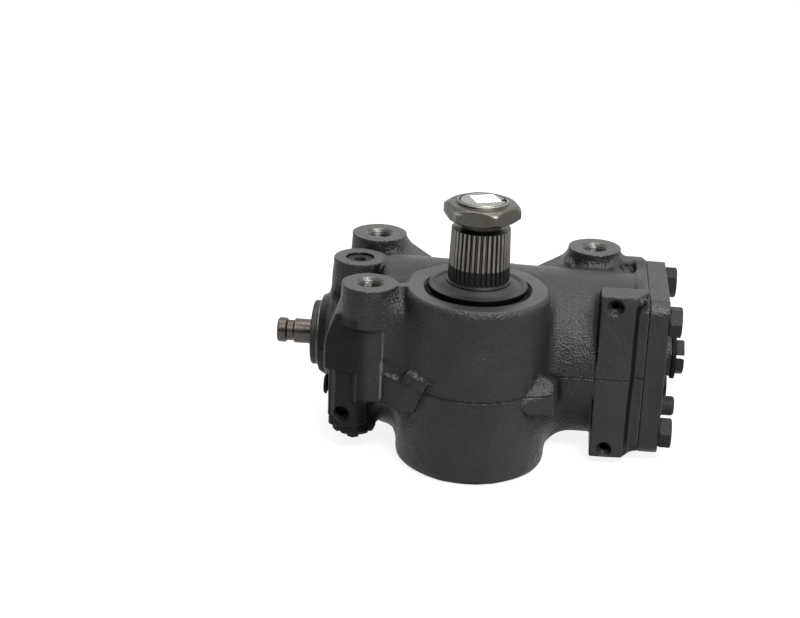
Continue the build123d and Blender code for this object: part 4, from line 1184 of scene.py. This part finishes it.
# relief plug under the foot: castellated rim and a small hexagon
rp = Solid(4.0)
rp.add(cylinder("z", RELIEF, 16.9, -135.0, -131.7, 0.2))
rp.add(cylinder("z", RELIEF, 18.4, -137.5, -134.5, 0.6), 0.2)
for k in range(8):
    a = math.radians(45 * k + 10)
    rp.cut(capsule((RELIEF[0] + 17.0 * math.cos(a), RELIEF[1] + 17.0 * math.sin(a), -138.6), (RELIEF[0] + 24.0 * math.cos(a), RELIEF[1] + 24.0 * math.sin(a), -138.6), 2.6), 0.3)
rp.add(cylinder("z", RELIEF, 8.0, -134.6, -124.0, 0.4), 0.0)
rp.add(hex_prism("z", RELIEF, 10.0, -146.0, -136.0, 0.0, 0.4), 0.4)
rp.cut(cylinder("z", RELIEF, 5.6, -128.0, -120.0), 0.2)
solids_mesh("relief_plug_mesh", [(rp, (steps(-121.5, -82.5, G), steps(-16.5, 22.5, G), steps(-147.2, -122.8, G)))], "case", M_BOLT, ["relief_plug"], lambda P, N: 0.05 * lumps(P, 3.0), 0.12)

# label on the end of the shaft
lc, ls = math.cos(math.radians(23.0)), math.sin(math.radians(23.0))
lu = np.linspace(-1, 1, 15)
LU, LV = np.meshgrid(lu, lu, indexing="ij")
lx = 1.9 + LU * 10.5 * lc - LV * 9.6 * ls
ly = 2.2 + LU * 10.5 * ls + LV * 9.6 * lc
top = np.stack([lx, ly, 77.68 + 0.03 * np.sin(LU * 3) + 0 * LV], -1).reshape(-1, 3)
low = np.stack([lx, ly, 77.5 + 0 * LU], -1).reshape(-1, 3)
n1 = len(lu)
I, J = np.meshgrid(np.arange(n1 - 1), np.arange(n1 - 1), indexing="ij")
quad = np.stack([I * n1 + J, (I + 1) * n1 + J, (I + 1) * n1 + J + 1, I * n1 + J + 1], -1).reshape(-1, 4)
rim = [k * n1 for k in range(n1)] + [(n1 - 1) * n1 + k for k in range(1, n1)] + [k * n1 + n1 - 1 for k in range(n1 - 2, -1, -1)] + [k for k in range(n1 - 2, 0, -1)]
side = [[rim[k], rim[k] + n1 * n1, rim[(k + 1) % len(rim)] + n1 * n1, rim[(k + 1) % len(rim)]] for k in range(len(rim))]
add_mesh("shaft_label_mesh", np.concatenate([top, low]), np.concatenate([quad, quad[:, ::-1] + n1 * n1, np.array(side)]), body_for("shaft_label"), M_LABEL, ["shaft_label"], None, None, False)

# ------------------------------------------------------------------ other nodes keep their shape for now
slots = {}
for name, ob in frame["nodes"].items():
    pick = {
        "end_cover": M_COVER, "end_cover_bolts": M_BOLT, "limiter_nut": M_BOLT, "limiter_washer": M_BOLT, "limiter_screw": M_BOLT, "end_cover_plug": M_BOLT,
        "port_plug": M_BOLT, "side_plug": M_BOLT, "relief_plug": M_BOLT, "sector_cover": M_COVER,
        "dust_cap": M_RUBBER, "input_dust_cover": M_RUBBER, "end_cover_seal": M_RUBBER, "sector_cover_seal": M_RUBBER, "sector_shaft_seal": M_RUBBER, "input_seal": M_RUBBER,
        "sector_shaft": M_SECTOR, "drop_arm_nut": M_NUT, "shaft_label": M_LABEL, "adjusting_screw": M_NUT, "adjuster_lock_nut": M_NUT, "valve_cover": M_NUT, "tube_clamp_screws": M_NUT,
        "input_shaft": M_SHAFT, "worm_screw": M_SHAFT, "rack_piston": M_INNER, "piston_ring": M_PTFE, "sleeve_rings": M_PTFE,
        "seal_snap_ring": M_SPRING, "sector_cover_ring": M_SPRING, "relief_spring": M_SPRING,
    }.get(name, M_GROUND)
    ob.data.materials.clear()
    ob.data.materials.append(pick)

# ------------------------------------------------------------------ camera, light and floor
E, A, RO = (math.radians(v) for v in (21.0, 4.5, 2.3))
F = np.array([-math.sin(A) * math.cos(E), math.cos(A) * math.cos(E), -math.sin(E)])
R0 = np.array([math.cos(A), math.sin(A), 0.0])
U0 = np.cross(R0, F)
R = math.cos(RO) * R0 + math.sin(RO) * U0
U = -math.sin(RO) * R0 + math.cos(RO) * U0
FOCAL = 1800.0
C = -(F + (478.0 - 400.0) / FOCAL * R - (287.5 - 309.0) / FOCAL * U) * 1.512
cam_data = bpy.data.cameras.new("camera")
cam_data.sensor_fit = "HORIZONTAL"
cam_data.sensor_width = 36.0
cam_data.lens = FOCAL / 800.0 * 36.0
cam_data.clip_start, cam_data.clip_end = 0.05, 50.0
cam = bpy.data.objects.new("camera", cam_data)
bpy.context.scene.collection.objects.link(cam)
cam.matrix_world = Matrix(((R[0], U[0], -F[0], C[0]), (R[1], U[1], -F[1], C[1]), (R[2], U[2], -F[2], C[2]), (0, 0, 0, 1)))
bpy.context.scene.camera = cam

floor_z = -0.1552
bpy.ops.mesh.primitive_grid_add(x_subdivisions=2, y_subdivisions=2, size=14.0, location=(0, 0, floor_z))
floor = bpy.context.active_object
floor.name = "floor"
m, nt, b = material("floor_white")
n = Nodes(nt)
nt.links.new(n.mix(n.ramp(n.noise(2.0, 3.0, 0.5), 0.3, 0.7), (0.115, 0.115, 0.115), (0.125, 0.125, 0.125)), b.inputs["Base Color"])
b.inputs["Roughness"].default_value = 0.75
b.inputs["Emission Color"].default_value = (1, 1, 1, 1)
b.inputs["Emission Strength"].default_value = 0.86
floor.data.materials.append(m)


def area(name, loc, target, size, power, color=(1, 1, 1), size_y=None):
    d = bpy.data.lights.new(name, "AREA")
    d.shape = "RECTANGLE" if size_y else "SQUARE"
    d.size = size
    if size_y:
        d.size_y = size_y
    d.energy = power
    d.color = color
    o = bpy.data.objects.new(name, d)
    o.location = loc
    o.rotation_euler = (Vector(target) - Vector(loc)).to_track_quat("-Z", "Y").to_euler()
    bpy.context.scene.collection.objects.link(o)
    return o


area("top", (0.15, 0.3, 1.75), (0, 0.05, -0.1), 1.4, 26, size_y=1.0)
area("front_high", (0.55, -1.15, 1.55), (0.02, 0.03, -0.06), 1.2, 92, size_y=0.6)
world = bpy.data.worlds.new("studio")
world.use_nodes = True
wt = world.node_tree
bg = wt.nodes["Background"]
direction = wt.nodes.new("ShaderNodeTexCoord").outputs["Generated"]


def sky(axis, lo, hi, out_lo, out_hi):
    d = wt.nodes.new("ShaderNodeVectorMath")
    d.operation = "DOT_PRODUCT"
    d.inputs[1].default_value = axis
    wt.links.new(direction, d.inputs[0])
    m = wt.nodes.new("ShaderNodeMapRange")
    m.interpolation_type = "SMOOTHSTEP"
    for key, v in (("From Min", lo), ("From Max", hi), ("To Min", out_lo), ("To Max", out_hi)):
        m.inputs[key].default_value = v
    wt.links.new(d.outputs["Value"], m.inputs["Value"])
    return m.outputs[0]


total = wt.nodes.new("ShaderNodeMath")
total.operation = "ADD"
wt.links.new(sky((0.22, 0.62, 0.753), 0.0, 0.7, 0.10, 1.36), total.inputs[0])
wt.links.new(sky((0.85, -0.5, 0.15), 0.3, 0.95, 0.0, 0.55), total.inputs[1])
wt.links.new(total.outputs[0], bg.inputs["Strength"])
bg.inputs["Color"].default_value = (1, 1, 1, 1)
bpy.context.scene.world = world
bpy.context.scene.view_settings.view_transform = "Standard"
